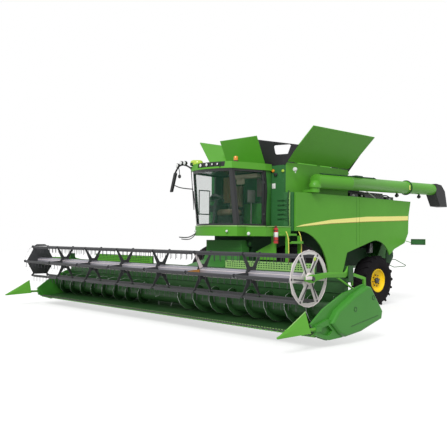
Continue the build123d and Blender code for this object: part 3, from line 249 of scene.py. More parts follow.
# painted highlight: an ochre tint for the glint on a spider arm
armHighlightOchre = wornMaterial("armHighlightOchre", (0.50, 0.22, 0.05), 0.4, specular=0.3, dustAndShade=0.03)
lampLens = wornMaterial("lampLens", (0.80, 0.82, 0.80), 0.08, coat=0.8, dustAndShade=0.0)
amberLens = wornMaterial("amberLens", (0.80, 0.28, 0.02), 0.15, coat=0.6, dustAndShade=0.0)
redLens = wornMaterial("redLens", (0.50, 0.02, 0.01), 0.15, coat=0.6, dustAndShade=0.0)
domeLens = wornMaterial("domeLens", (0.45, 0.62, 0.05), 0.3, coat=0.4, dustAndShade=0.0)
mirrorFace = wornMaterial("mirrorFace", (0.7, 0.72, 0.74), 0.03, metallic=1.0, dustAndShade=0.0)
print("materials made")

nodeFinish = {
    "chassis": darkGreen, "front_axle": darkGreen, "rear_axle": blackPaint, "knuckle_left": blackPaint,
    # the bulkhead takes the painted shade green
    "knuckle_right": blackPaint, "grain_tank": bodyGreen, "bulkhead": paintedShadeWallGreen, "engine": engineIron,
    # the chopper is in the painted shade green
    "rear_hood": bodyGreen, "engine_deck": blackPaint, "chopper": paintedShadeGreen, "cover_left": bodyGreen,
    "cover_right": bodyGreen, "cover_front": bodyGreen, "cover_rear": bodyGreen, "tank_gussets": sheetBlack,
    "cab_shell": blackPaint, "cab_glass": cabPane, "cab_door": blackPaint, "door_glass": cabPane,
    "cab_roof": bodyGreen, "cab_seat": seatCloth, "cab_console": blackPlastic, "platform": bodyGreen,
    "ladder": bodyGreen, "extinguisher": redPaint, "mirror_right": blackPlastic, "lamps": lampLens,
    "auger_turret": bodyGreen, "unloader": tubeGreen, "unloader_spout": blackPlastic,
    # the feeder house is in the painted shade green
    "feeder_house": paintedShadeGreen,
    # the cutterbar takes the lighter painted highlight green
    # the header ends take the darker painted shade green
    # the header frame and auger take the deep painted shade green
    "header_frame": paintedDeepShadeGreen, "cutterbar": lipHighlightGreen, "header_ends": endShadeGreen, "dividers": bodyGreen,
    "header_auger": paintedDeepShadeGreen, "reel": reelDark, "reel_disc": discGreyShadedBelow, "reel_arms": bodyGreen,
    "lift_barrels": blackPaint, "lift_rods": chromeRod,
}
for kind, material in (("tyre", tyreRubber), ("rim", rimYellow), ("shield", bodyGreen)):
    for place in ("front_left", "front_right", "rear_left", "rear_right"):
        nodeFinish["%s_%s" % (kind, place)] = material
for count in range(6):
    nodeFinish["bat_%d" % (count + 1)] = reelDark
for name, material in nodeFinish.items():
    nodes[name].data.materials.clear()
    nodes[name].data.materials.append(material)


# ---- making pieces
planeTurns = {"x": Matrix(((0, 0, 1, 0), (1, 0, 0, 0), (0, 1, 0, 0), (0, 0, 0, 1))),
              "y": Matrix(((1, 0, 0, 0), (0, 0, -1, 0), (0, 1, 0, 0), (0, 0, 0, 1))), "z": Matrix.Identity(4)}
sides = ((1, "left"), (-1, "right"))


def clear():
    if bpy.context.object and bpy.context.object.mode != "OBJECT":
        bpy.ops.object.mode_set(mode="OBJECT")
    bpy.ops.object.select_all(action="DESELECT")


def only(piece):
    clear()
    piece.select_set(True)
    bpy.context.view_layer.objects.active = piece
    return piece


def settle(piece):
    only(piece)
    bpy.ops.object.transform_apply(location=True, rotation=True, scale=True)
    return piece


def mend(piece, distance=0.00005):
    only(piece)
    bpy.ops.object.mode_set(mode="EDIT")
    bpy.ops.mesh.select_all(action="SELECT")
    bpy.ops.mesh.remove_doubles(threshold=distance)
    bpy.ops.mesh.normals_make_consistent(inside=False)
    bpy.ops.object.mode_set(mode="OBJECT")
    return piece


def withModifier(piece, kind, **values):
    only(piece)
    modifier = piece.modifiers.new("finish", kind)
    for key, value in values.items():
        setattr(modifier, key, value)
    bpy.ops.object.modifier_apply(modifier=modifier.name)
    return piece


def soften(piece, width, segments=2, angle=40):
    return withModifier(piece, "BEVEL", width=width, segments=segments, limit_method="ANGLE",
                        angle_limit=radians(angle))


def slab(low, high, bevel=0.004, segments=2):
    low, high = at(*low), at(*high)
    clear()
    bpy.ops.mesh.primitive_cube_add(size=1, location=(low + high) / 2)
    piece = bpy.context.object
    piece.scale = high - low
    settle(piece)
    return soften(piece, bevel, segments)


def sideSlab(side, low, high, bevel=0.004, segments=2):
    near, far = sorted((side * low[0], side * high[0]))
    return slab((near, *low[1:]), (far, *high[1:]), bevel, segments)


def roundBar(start, end, radius, sides=12, tip=None, bevel=0.0):
    start, end = at(*start), at(*end)
    way = end - start
    clear()
    bpy.ops.mesh.primitive_cone_add(vertices=sides, radius1=radius, radius2=radius if tip is None else tip,
                                    depth=way.length, location=(start + end) / 2,
                                    rotation=way.to_track_quat("Z", "Y").to_euler())
    piece = settle(bpy.context.object)
    return soften(piece, bevel, 2) if bevel else piece


def bentTube(points, radius, sides=2, straight=False):
    clear()
    bpy.ops.curve.primitive_nurbs_path_add(location=(0, 0, 0))
    piece = bpy.context.object
    curve = piece.data
    curve.splines.clear()
    spline = curve.splines.new("POLY" if straight else "NURBS")
    spline.points.add(len(points) - 1)
    for point, place in zip(spline.points, points):
        point.co = (*at(*place), 1)
    if not straight:
        spline.order_u = 3
        spline.use_endpoint_u = True
    curve.bevel_depth = radius
    curve.bevel_resolution = sides
    curve.resolution_u = 4
    curve.use_fill_caps = True
    bpy.ops.object.convert(target="MESH")
    return mend(bpy.context.object)


def outlineSheet(outline, plane, place, thick, holes=(), bevel=0.0):
    clear()
    curve = bpy.data.curves.new("outline", "CURVE")
    curve.dimensions = "2D"
    curve.fill_mode = "BOTH"
    for points in (outline, *holes):
        spline = curve.splines.new("POLY")
        spline.points.add(len(points) - 1)
        for point, (across, up) in zip(spline.points, points):
            point.co = (across, up, 0, 1)
        spline.use_cyclic_u = True
    curve.extrude = thick / 2
    piece = bpy.data.objects.new("outline", curve)
    bpy.context.collection.objects.link(piece)
    only(piece)
    bpy.ops.object.convert(target="MESH")
    piece = bpy.context.object
    offset = {"x": (place, axleY, 0), "y": (0, place + axleY, 0), "z": (0, axleY, place)}[plane]
    piece.matrix_world = Matrix.Translation(offset) @ planeTurns[plane]
    settle(piece)
    mend(piece)
    return soften(piece, bevel, 2) if bevel else piece


def turned(profile, foot, way, steps=24):
    clear()
    radius, rise = profile[0]
    bpy.ops.mesh.primitive_circle_add(vertices=steps, radius=radius, fill_type="NGON", location=(0, 0, rise))
    piece = bpy.context.object
    bpy.ops.object.mode_set(mode="EDIT")
    bpy.ops.mesh.select_all(action="SELECT")
    for nextRadius, nextRise in profile[1:]:
        bpy.ops.mesh.extrude_region_move(TRANSFORM_OT_translate={"value": (0, 0, nextRise - rise)})
        bpy.ops.transform.resize(value=(nextRadius / radius, nextRadius / radius, 1))
        radius, rise = nextRadius, nextRise
    bpy.ops.mesh.select_all(action="SELECT")
    bpy.ops.mesh.normals_make_consistent(inside=False)
    bpy.ops.object.mode_set(mode="OBJECT")
    settle(piece)
    piece.rotation_euler = Vector(way).to_track_quat("Z", "Y").to_euler()
    piece.location = at(*foot)
    return settle(piece)


def joined(pieces):
    clear()
    for piece in pieces:
        piece.select_set(True)
    bpy.context.view_layer.objects.active = pieces[0]
    if len(pieces) > 1:
        bpy.ops.object.join()
    return bpy.context.object


def copied(piece, move=(0, 0, 0)):
    only(piece)
    bpy.ops.object.duplicate(linked=False)
    twin = bpy.context.object
    twin.location = move
    return settle(twin)


def repeated(piece, count, step):
    return withModifier(piece, "ARRAY", count=count, use_relative_offset=False, use_constant_offset=True,
                        constant_offset_displace=step)


def cutAway(piece, test):
    only(piece)
    bpy.ops.object.mode_set(mode="EDIT")
    bpy.ops.mesh.select_all(action="DESELECT")
    bpy.ops.object.mode_set(mode="OBJECT")
    for face in piece.data.polygons:
        face.select = test(face.center)
    bpy.ops.object.mode_set(mode="EDIT")
    bpy.ops.mesh.delete(type="FACE")
    bpy.ops.object.mode_set(mode="OBJECT")


def ringPoints(count, radius, y, z, turn=0.0):
    angles = [turn + 2 * pi * n / count for n in range(count)]
    return [(y + radius * cos(angle), z + radius * sin(angle)) for angle in angles]


def dress(piece, name, material, body="machine", angle=35):
    if isinstance(piece, list):
        piece = joined(piece)
    settle(piece)
    bpy.ops.object.shade_smooth_by_angle(angle=radians(angle))
    piece.name = name
    piece.data.name = name
    piece.data.materials.clear()
    piece.data.materials.append(material)
    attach(piece, body)
    return piece


# ---- stripes along the shields
stripe = {"bottom": [(-0.169, 2.288), (1.33, 2.411), (3.019, 2.497), (5.123, 2.58), (5.255, 2.585)],
          "top": [(0.138, 2.355), (1.329, 2.509), (3.018, 2.637), (5.122, 2.712), (5.270, 2.717)],
          "seam": 2.652, "seamGap": 0.007, "face": 1.6630, "thick": 0.002, "edge": 0.016}


def heightOn(line, y):
    for (lowY, lowZ), (highY, highZ) in zip(line, line[1:]):
        if y <= highY:
            break
    return lowZ + (highZ - lowZ) * (y - lowY) / (highY - lowY)


def bandOutline(lower, upper, start, end):
    below = [p for p in lower if start < p[0] < end]
    above = [p for p in upper if start < p[0] < end]
    outline = [(max(start, lower[0][0]), heightOn(lower, max(start, lower[0][0])))] + below
    outline += [(end, heightOn(lower, end)), (end, heightOn(upper, end))] + above[::-1]
    if start > upper[0][0]:
        outline.append((start, heightOn(upper, start)))
    return outline


def addStripes():
    seamFront = stripe["seam"] - stripe["seamGap"]
    seamRear = stripe["seam"] + stripe["seamGap"]
    spans = (("front", -0.169, seamFront), ("rear", seamRear, 5.25))
    edgeLine = [(y, z - stripe["edge"]) for y, z in stripe["bottom"]]
    for part, start, end in spans:
        for side, tag in sides:
            body = "shield_%s_%s_body" % (part, tag)
            place = side * (stripe["face"] + stripe["thick"] / 2)
            band = outlineSheet(bandOutline(stripe["bottom"], stripe["top"], start, end), "x", place,
                                stripe["thick"])
            dress(band, "stripe_%s_%s" % (part, tag), stripeYellow, body)
            edge = outlineSheet(bandOutline(edgeLine, stripe["bottom"], start, end), "x", place,
                                stripe["thick"])
            dress(edge, "stripe_edge_%s_%s" % (part, tag), stripeEdge, body)


addStripes()
print("stripes laid")

# ---- roof front with its lamps, beacon and dome
roofFront = {"tip": -1.858, "radius": 1.4649, "slot": (-0.298, 0.618), "depth": 0.038, "low": 3.817,
             "high": 3.942, "lamps": [(-0.18, 0.052), (0.07, 0.052), (0.26, 0.038), (0.42, 0.038)],
             "lampZ": 3.88, "beacon": (0.65, -1.35), "dome": (-0.6, -1.56), "skin": 3.945}


def roofLine(x, depth=0.0):
    radius = roofFront["radius"]
    return roofFront["tip"] + depth + radius - (radius ** 2 - x ** 2) ** 0.5


def addRoofFront():
    low, high = roofFront["slot"]
    places = [low + (high - low) * n / 12 for n in range(13)]
    outline = [(x, roofLine(x, roofFront["depth"] - 0.012)) for x in places]
    outline += [(x, roofLine(x, roofFront["depth"])) for x in places[::-1]]
    back = outlineSheet(outline, "z", (roofFront["low"] + roofFront["high"]) / 2,
                        roofFront["high"] - roofFront["low"])
    dress(back, "roof_lamp_panel", blackPlastic)
    rings, lenses = [], []
    for x, radius in roofFront["lamps"]:
        face = roofLine(x, roofFront["depth"]) - 0.030
        foot = (x, face + 0.022, roofFront["lampZ"])
        rings.append(turned([(radius + 0.004, 0), (radius + 0.005, 0.018), (radius + 0.001, 0.026),
                             (radius - 0.008, 0.026), (radius - 0.010, 0.020)], foot, (0, -1, 0), 28))
        lenses.append(turned([(radius - 0.010, 0.014), (radius - 0.011, 0.024), (radius * 0.6, 0.029),
                              (radius * 0.2, 0.031)], foot, (0, -1, 0), 28))
    dress(rings, "roof_lamp_rings", blackPlastic)
    dress(lenses, "roof_lamp_lenses", lampLens)
    beacon = turned([(0.056, 0), (0.057, 0.075), (0.052, 0.098), (0.036, 0.112), (0.012, 0.118)],
                    (*roofFront["beacon"], 3.987), (0, 0, 1), 28)
    dress(beacon, "beacon_lens", amberLens, angle=50)
    base = turned([(0.066, 0), (0.067, 0.036), (0.060, 0.044), (0.05, 0.044)],
                  (*roofFront["beacon"], roofFront["skin"]), (0, 0, 1), 28)
    dress(base, "beacon_base", blackPlastic)
    dome = turned([(0.153, 0), (0.154, 0.036), (0.140, 0.044), (0.134, 0.082), (0.118, 0.112), (0.086, 0.128),
                   (0.04, 0.134), (0.01, 0.135)], (*roofFront["dome"], roofFront["skin"]), (0, 0, 1), 36)
    dress(dome, "receiver_dome", domeLens, angle=50)
    seam = slab((0.52, -1.81, 3.79), (0.526, -1.77, 3.93), 0.001, 1)
    dress(seam, "roof_seam", darkGreen)


addRoofFront()
print("roof front dressed")

# ---- cab: pillars, wiper, seat and controls
cab = {"half": 0.960, "slope": 0.2, "post": -0.600, "floor": 2.300, "top": 3.770, "front": -1.430,
       "rake": 0.170, "bow": 0.230}


def sideX(y):
    return cab["half"] + cab["slope"] * min(0, y - cab["post"])


def screenY(x, z):
    part = (z - cab["floor"]) / (cab["top"] - cab["floor"])
    front = cab["front"] - cab["rake"] * part
    radius = (sideX(front) ** 2 + cab["bow"] ** 2) / (2 * cab["bow"])
    return front - cab["bow"] + radius - (radius ** 2 - x ** 2) ** 0.5


def addCabTrim():
    # wiper: a blade on an arm, parked beside the right pillar
    blade = [(-0.735, screenY(-0.735, z) - 0.060, z) for z in (2.74, 3.05, 3.30, 3.55, 3.80)]
    wiper = [bentTube(blade, 0.011), bentTube([(-0.60, screenY(-0.60, 2.55) - 0.015, 2.55),
                                               (-0.66, screenY(-0.66, 2.9) - 0.055, 2.9),
                                               (-0.70, screenY(-0.70, 3.25) - 0.045, 3.25)], 0.013)]
    wiper.append(turned([(0.035, 0), (0.035, 0.03), (0.02, 0.04)], (-0.60, screenY(-0.60, 2.55) + 0.004, 2.55),
                        (0, -1, 0), 16))
    dress(wiper, "wiper", blackPlastic)
    # curved trim on the door's rear post and the quarter panel behind it, the panel in painted shade green
    for side, tag in sides:
        outline = [(-0.60, 2.32), (-0.615, 2.55), (-0.60, 2.9), (-0.575, 3.2), (-0.60, 3.5), (-0.64, 3.765),
                   (-0.57, 3.765), (-0.525, 3.5), (-0.50, 3.2), (-0.525, 2.9), (-0.545, 2.55), (-0.53, 2.32)]
        trim = outlineSheet(outline, "x", side * 0.967, 0.010, bevel=0.002)
        dress(trim, "post_trim_" + tag, blackPlastic)
        quarter = outlineSheet([(-0.525, 2.32), (-0.54, 2.55), (-0.52, 2.9), (-0.495, 3.2), (-0.52, 3.5),
                                (-0.565, 3.765), (-0.352, 3.765), (-0.352, 2.32)], "x", side * 0.964, 0.006,
                               bevel=0.001)
        dress(quarter, "quarter_panel_" + tag, paintedShadeGreen)


steering = {"y": -1.42, "z": 3.035, "boss": (0, -1.42, 3.02), "spokes": (90, 210, 330)}


def onWheel(angle, across, along, rise):
    turn = radians(angle)
    return across * cos(turn), steering["y"] + along * sin(turn), steering["z"] + rise * sin(turn)


def addCabInside():
    # far window's inner frame, lining, curtain and blind
    frame = outlineSheet([(-1.345, 2.62), (-0.93, 2.62), (-0.93, 3.30), (-1.345, 3.30)], "x", -0.80, 0.012,
                         holes=[[(-1.318, 2.65), (-0.957, 2.65), (-0.957, 3.272), (-1.318, 3.272)]],
                         bevel=0.002)
    dress(frame, "side_window_frame", blackPlastic)
    folds = [(-0.80 + 0.06 * n, -0.425 - 0.016 * (n % 2)) for n in range(8)]
    curtain = outlineSheet(folds + [(x, y + 0.006) for x, y in folds[::-1]], "z", 3.33, 0.72)
    curtain = withModifier(curtain, "SUBSURF", levels=1, render_levels=1, subdivision_type="SIMPLE")
    dress(curtain, "rear_curtain", curtainCloth, angle=60)
    lining = slab((-0.35, -0.62, 3.60), (0.70, -0.40, 3.715), 0.02, 3)
    dress(lining, "head_lining", tanPanel)
    blind = slab((0.54, -0.450, 3.10), (0.74, -0.435, 3.70), 0.004, 2)
    dress(blind, "side_blind", blindCloth)
    # the rear lower panel is in the painted shade green
    lower = slab((0.02, -0.43, 2.36), (0.74, -0.405, 2.92), 0.006, 2)
    dress(lower, "rear_lower_panel", paintedShadeGreen)
    # steering column, wheel and console
    wheel = bentTube([onWheel(a, 0.185, 0.165, 0.085) for a in range(0, 375, 15)], 0.016)
    spokes = [bentTube([onWheel(a, 0.17, 0.15, 0.078), steering["boss"]], 0.012, straight=True)
              for a in steering["spokes"]]
    boss = turned([(0.055, 0), (0.058, 0.02), (0.04, 0.035), (0.01, 0.038)], (0, -1.425, 3.012),
                  (0, -0.45, 0.9), 24)
    column = bentTube([(0, -1.50, 2.36), (0, -1.49, 2.65), (0, -1.44, 2.90), (0, -1.42, 3.015)], 0.042)
    dress([wheel, boss, column] + spokes, "steering_wheel", blackPlastic)
    monitor = [slab((0.555, -0.83, 2.93), (0.60, -0.56, 3.26), 0.012, 3),
               slab((0.595, -0.81, 2.955), (0.604, -0.58, 3.235), 0.003, 2)]
    monitor.append(roundBar((0.575, -0.70, 2.36), (0.575, -0.70, 2.95), 0.018, 12))
    dress(monitor, "monitor", greyPanel)
    rest = [slab((-0.46, -1.12, 2.88), (-0.34, -0.72, 2.94), 0.022, 4),
            slab((-0.47, -1.16, 2.70), (-0.33, -0.66, 2.88), 0.02, 3),
            roundBar((-0.40, -1.10, 2.94), (-0.40, -1.12, 3.07), 0.014, 12, bevel=0.004),
            turned([(0.022, 0), (0.03, 0.03), (0.026, 0.06), (0.01, 0.07)], (-0.40, -1.12, 3.06), (0, -0.1, 1),
                   16)]
    dress(rest, "control_armrest", blackPlastic)


seat = {"base": (-0.26, -1.19, 2.60), "top": (0.26, -0.70, 2.735), "back": (-0.24, -0.74, 2.80),
        "backTop": (0.24, -0.625, 3.42), "pressure": 4.0, "voxel": 0.0065, "cap": 0.022}


def padFrom(piece, name, material):
    # a crowned cushion: the shape swells a little under cloth pressure and is capped
    only(piece)
    piece.data.remesh_voxel_size = seat["voxel"]
    bpy.ops.object.voxel_remesh()
    start = [vertex.co.copy() for vertex in piece.data.vertices]
    cloth = piece.modifiers.new("swell", "CLOTH")
    cloth.settings.use_pressure = True
    cloth.settings.uniform_pressure_force = seat["pressure"]
    cloth.settings.effector_weights.gravity = 0
    cloth.point_cache.frame_start = 1
    cloth.point_cache.frame_end = 20
    for count in range(1, 21):
        bpy.context.scene.frame_set(count)
    only(piece)
    bpy.ops.object.modifier_apply(modifier="swell")
    bpy.context.scene.frame_set(1)
    for vertex, place in zip(piece.data.vertices, start):
        moved = vertex.co - place
        if moved.length > seat["cap"]:
            vertex.co = place + moved.normalized() * seat["cap"]
    withModifier(piece, "SMOOTH", factor=0.5, iterations=6)
    withModifier(piece, "SUBSURF", levels=1, render_levels=1)
    dress(piece, name, material, angle=60)


def addSeat():
    cushion = slab(seat["base"], seat["top"], 0.045, 4)
    padFrom(cushion, "seat_cushion", seatCloth)
    back = slab(seat["back"], seat["backTop"], 0.045, 4)
    padFrom(back, "seat_back", seatCloth)
    head = slab((0.02, -0.73, 3.43), (0.30, -0.64, 3.60), 0.035, 4)
    padFrom(head, "seat_head_pad", tanPanel)
    frame = [slab((-0.22, -1.10, 2.36), (0.22, -0.72, 2.40), 0.01, 2)]
    for n in range(5):
        grow = 0.012 * (n % 2)
        frame.append(slab((-0.18 - grow, -1.06 - grow, 2.40 + 0.036 * n),
                          (0.18 + grow, -0.76 + grow, 2.436 + 0.036 * n), 0.006, 2))
    frame.append(slab((-0.23, -1.13, 2.575), (0.23, -0.70, 2.60), 0.008, 2))
    frame.append(slab((-0.21, -0.640, 2.60), (0.21, -0.605, 3.36), 0.012, 2))
    base = dress(frame, "seat_base", blackPlastic)
    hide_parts("cab_seat")


addCabTrim()
addCabInside()
addSeat()
print("cab dressed")

# ---- cab sill, its lamps and hoses
sill = {"front": -1.43, "edge": 0.016, "top": 2.296, "stand": 0.022, "overhang": 0.015, "bow": 0.23,
        "bowHalf": 0.794, "bowEnd": 0.81, "bowGap": 0.02, "low": (0.99, -1.262, 2.276),
        "high": (1.652, -0.335, 2.292), "lamps": ((-0.72, -1.515, -0.2), (0.60, -1.60, 0.2)), "lampZ": 2.165,
        "workLamp": (1.05, -1.250, 2.10)}


def addSill():
    top, front, half, edge = sill["top"], sill["front"], sideX(sill["front"]), sill["edge"]
    side = [(half + sill["stand"], front, top), (sideX(cab["post"]) + sill["stand"], cab["post"], top)]
    radius = (sill["bowHalf"] ** 2 + sill["bow"] ** 2) / (2 * sill["bow"])
    bowed = []
    for n in range(13):
        x = -half - sill["overhang"] + 2 * (half + sill["overhang"]) * n / 12
        sag = radius - (radius ** 2 - min(abs(x), sill["bowEnd"]) ** 2) ** 0.5
        bowed.append((x, front - sill["bowGap"] - sill["bow"] + sag, top))
    (lowX, lowY, lowZ), (highX, highY, highZ) = sill["low"], sill["high"]
    # the sill's edges are picked out in the pale painted highlight green
    edges = [bentTube(side, edge, straight=True), bentTube(bowed, edge, straight=True),
             slab((lowX, lowY, lowZ), (highX, lowY + 0.026, highZ), 0.004, 2),
             slab((highX - 0.020, lowY, lowZ), (highX, highY, highZ), 0.004, 2)]
    dress(edges, "sill_edge", paintedHighlightGreen)
    lamps = [turned([(0.030, 0), (0.032, 0.02), (0.024, 0.032), (0.01, 0.036)], (x, y, sill["lampZ"]),
                    (lean, -1, 0), 20) for x, y, lean in sill["lamps"]]
    lamps.append(turned([(0.045, 0), (0.047, 0.03), (0.036, 0.044), (0.01, 0.05)], sill["workLamp"], (0, -1, 0),
                        24))
    dress(lamps, "sill_lamps", lampLens)
    pipes = [bentTube([(-0.80, -1.46, 2.10), (-0.80, -1.60, 2.02), (-0.80, -1.80, 1.98), (-0.80, -2.02, 2.00)],
                      0.014), bentTube([(-0.83, -1.44, 2.07), (-0.83, -1.56, 1.96), (-0.83, -1.74, 1.93),
                                        (-0.83, -1.92, 1.95)], 0.012)]
    dress(pipes, "sill_hoses", blackPlastic)


# ---- landing beside the cab
landing = {"wall": -0.330, "amber": (1.03, 3.766), "pale": (1.373, 3.746), "lamp": (1.55, -0.040, 3.797),
           "rail": (1.60, 0.017), "bars": (2.50, 2.62, 2.74, 2.86, 2.98), "barY": -0.352, "treads": 40,
           "step": 0.021}


def wallLamp(place, radius):
    return turned([(radius, 0), (radius + 0.002, 0.02), (radius - (0.006 if radius > 0.039 else 0.008), 0.034),
                   (0.01, 0.038)], (place[0], landing["wall"], place[1]), (0, -1, 0), 20)


def addLanding():
    wall = landing["wall"]
    dress(wallLamp(landing["amber"], 0.040), "landing_lamp_amber", amberLens)
    box = slab((1.075, wall - 0.05, 3.63), (1.175, wall, 3.705), 0.012, 3)
    dress(box, "landing_switch_box", blackPlastic)
    plate = slab((0.985, wall - 0.004, 3.30), (1.105, wall, 3.435), 0.003, 2)
    dress(plate, "landing_plate", whitePaint)
    dress(wallLamp(landing["pale"], 0.038), "landing_lamp_pale", domeLens)
    x, y, z = landing["lamp"]
    white = [turned([(0.052, 0), (0.055, 0.05), (0.047, 0.062), (0.01, 0.068)], (x, y, z), (0, -1, 0), 24),
             roundBar((x, y - 0.02, z - 0.097), (x, y + 0.01, z - 0.017), 0.014, 12)]
    dress(white, "side_work_lamp", lampLens)
    x, radius = landing["rail"]
    rails = [bentTube([(x, -0.36, 2.33), (x, -0.41, 2.75), (x, -0.41, 3.10), (x, -0.36, 3.22)], radius)]
    rails += [roundBar((1.20, landing["barY"], z), (x, landing["barY"], z), 0.009, 8) for z in landing["bars"]]
    dress(rails, "landing_rails", darkGreen)
    # the post's lit edge is a painted highlight
    post = slab((1.585, -0.345, 2.31), (1.622, -0.332, 3.18), 0.004, 2)
    dress(post, "landing_post_edge", paintedHighlightGreen)
    tread = slab((0.99, -1.20, 2.110), (1.60, -1.194, 2.116), 0.001, 1)
    dress(repeated(tread, landing["treads"], (0, landing["step"], 0)), "landing_tread", darkGreen)


# ---- ladder rails and the extinguisher's fittings
ladder = {"rails": (-0.716, -0.224), "radius": 0.013, "marks": (1.10, 1.50, 1.90)}
bottle = {"x": 1.70, "y": -0.9583, "radius": 0.0585, "band": 2.02, "straps": (1.92, 2.18)}


def addLadderTrim():
    rails = [bentTube([(1.905, y, 0.56), (1.915, y, 1.2), (1.915, y, 1.9), (1.87, y, 2.10), (1.82, y, 2.16)],
                      ladder["radius"]) for y in ladder["rails"]]
    dress(rails, "ladder_rails", railYellow)
    reflectors = [slab((1.892, -0.722, z), (1.900, -0.680, z + 0.09), 0.002, 2) for z in ladder["marks"]]
    dress(reflectors, "ladder_reflectors", domeLens)


def addExtinguisherBand():
    x, y, radius = bottle["x"], bottle["y"], bottle["radius"]
    band = turned([(radius, 0), (0.0597, 0.002), (0.0597, 0.118), (radius, 0.12)], (x, y, bottle["band"]),
                  (0, 0, 1), 32)
    dress(band, "extinguisher_band", whitePaint)
    head = [roundBar((x, y, 2.255), (x, y, 2.288), 0.030, 16, bevel=0.004),
            bentTube([(x, -0.99, 2.27), (x, -1.02, 2.22), (x, -1.022, 2.05), (x, -1.020, 1.95)], 0.008)]
    dress(head, "extinguisher_valve", blackPlastic)
    straps = [turned([(0.0586, 0), (0.0605, 0.002), (0.0605, 0.016), (0.0586, 0.018)], (x, y, z), (0, 0, 1), 32)
              for z in bottle["straps"]]
    dress(straps, "extinguisher_straps", blackPaint)


addSill()
addLanding()
addLadderTrim()
addExtinguisherBand()
print("landing and ladder dressed")

# ---- tank corners and the folding auger
tank = {"hinge": (-1.407, 3.995), "openBefore": 1.0, "augerY": 0.62, "stand": 0.075,
        "reach": (0.16, 0.58, 0.66), "tube": 0.058, "head": 0.066}


def addTank():
    corners = copied(nodes["tank_gussets"])
    mend(corners, 0.0002)
    # the front right corner stands open, so that the auger shows there
    cutAway(corners, lambda centre: centre.x < 0 and centre.y - axleY < tank["openBefore"])
    dress(corners, "tank_corner_sheets", sheetBlack)
    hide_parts("tank_gussets")
    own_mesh(corners)
    # the auger lies along the inner face of the right cover and folds with it
    low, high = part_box("cover_right")
    hinge = Vector(tank["hinge"])
    way = (Vector((low.x, high.z)) - hinge).normalized()
    inward = Vector((way.y, -way.x))
    bottom, middle, top = [hinge + way * along + inward * tank["stand"] for along in tank["reach"]]
    y = tank["augerY"]
    tube = [roundBar((bottom.x, y, bottom.y), (middle.x, y, middle.y), tank["tube"], 24, bevel=0.006),
            roundBar((middle.x, y, middle.y), (top.x, y, top.y), tank["head"], 24, bevel=0.010)]
    dress(tube, "filling_auger", galvanised, "cover_right_body")


# ---- unloading tube, its flange, oil line and lamps
unloading = {"x": 1.700, "front": (0.575, 3.520), "joint": (5.045, 3.5995), "behind": (5.075, 3.600),
             "tip": (6.625, 3.6275), "rise": 0.0178, "radius": 0.191, "rearRadius": 0.184, "collar": 0.205,
             "bolts": 16, "boltRing": 0.212, "clamps": (0.80, 1.62, 2.42, 3.20), "lamps": (4.546, 5.84)}


def tubeZ(y):
    return 3.52 + unloading["rise"] * (y - 0.56)


def addUnloader():
    x, radius, collar, behind = unloading["x"], unloading["radius"], unloading["collar"], unloading["rearRadius"]
    start, end = (x, *unloading["front"]), (x, *unloading["joint"])
    way = Vector(end) - Vector(start)
    length = way.length
    pieces = [turned([(0.150, 0), (0.186, 0.012), (radius, 0.03), (radius, 1.46), (0.1945, 1.465),
                      (0.1945, 1.50), (radius, 1.505), (radius, length - 0.06), (collar, length - 0.055),
                      (collar, length)], start, way, 40)]
    rear = Vector((x, *unloading["tip"])) - Vector((x, *unloading["behind"]))
    pieces.append(turned([(collar, 0), (collar, 0.05), (behind, 0.055), (behind, rear.length)],
                         (x, *unloading["behind"]), rear, 40))
    pieces.append(roundBar((x, 0.56, 3.303), (x, 0.56, 3.40), 0.130, 32, bevel=0.006))
    pieces.append(turned([(0.150, 0), (0.165, 0.02), (0.165, 0.08), (0.130, 0.16), (0.10, 0.20)],
                         (x, 0.575, 3.33), (0, 0, 1), 32))
    tube = dress(pieces, "unloading_tube", tubeGreen, "unloader_body")
    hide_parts("unloader")
    bolts = [roundBar((boltX, 5.035, boltZ), (boltX, 5.085, boltZ), 0.012, 6)
             for boltX, boltZ in ringPoints(unloading["bolts"], unloading["boltRing"], x, 3.600)]
    flange = turned([(collar, 0), (0.232, 0.002), (0.232, 0.03), (collar, 0.032)], (x, 5.044, 3.5995), way, 40)
    dress(bolts + [flange], "tube_flange", darkGreen, "unloader_body")
    mark = slab((1.888, 4.955, 3.52), (1.8985, 5.02, 3.66), 0.004, 2)
    dress(mark, "flange_reflector", stripeYellow, "unloader_body")
    line = [bentTube([(1.75, 0.72, 3.722), (1.75, 1.6, 3.738), (1.75, 2.4, 3.752), (1.75, 3.25, 3.767),
                      (1.75, 3.34, 3.75), (1.74, 3.36, 3.70)], 0.017, straight=True)]
    for y in unloading["clamps"]:
        z = tubeZ(y) + 0.188
        line.append(slab((1.725, y - 0.022, z - 0.01), (1.775, y + 0.022, z + 0.03), 0.004, 2))
    line.append(slab((1.62, 2.30, 3.735), (1.80, 2.62, 3.79), 0.012, 3))
    line.append(slab((1.66, 2.62, 3.74), (1.74, 2.95, 3.765), 0.008, 2))
    dress(line, "tube_oil_line", darkGreen, "unloader_body")
    under = []
    for y in unloading["lamps"]:
        z = tubeZ(y)
        under.append(turned([(0.052, 0), (0.056, 0.05), (0.046, 0.075), (0.02, 0.085)],
                            (x, y + 0.03, z - 0.255), (0, -1, -0.2), 20))
        under.append(slab((1.675, y - 0.02, z - 0.24), (1.725, y + 0.02, z - 0.17), 0.006, 2))
    dress(under, "tube_lamps", blackPlastic, "unloader_body")


# ---- engine deck
deck = {"y": 3.345, "thick": 0.007, "bars": 34, "pitch": 0.030}


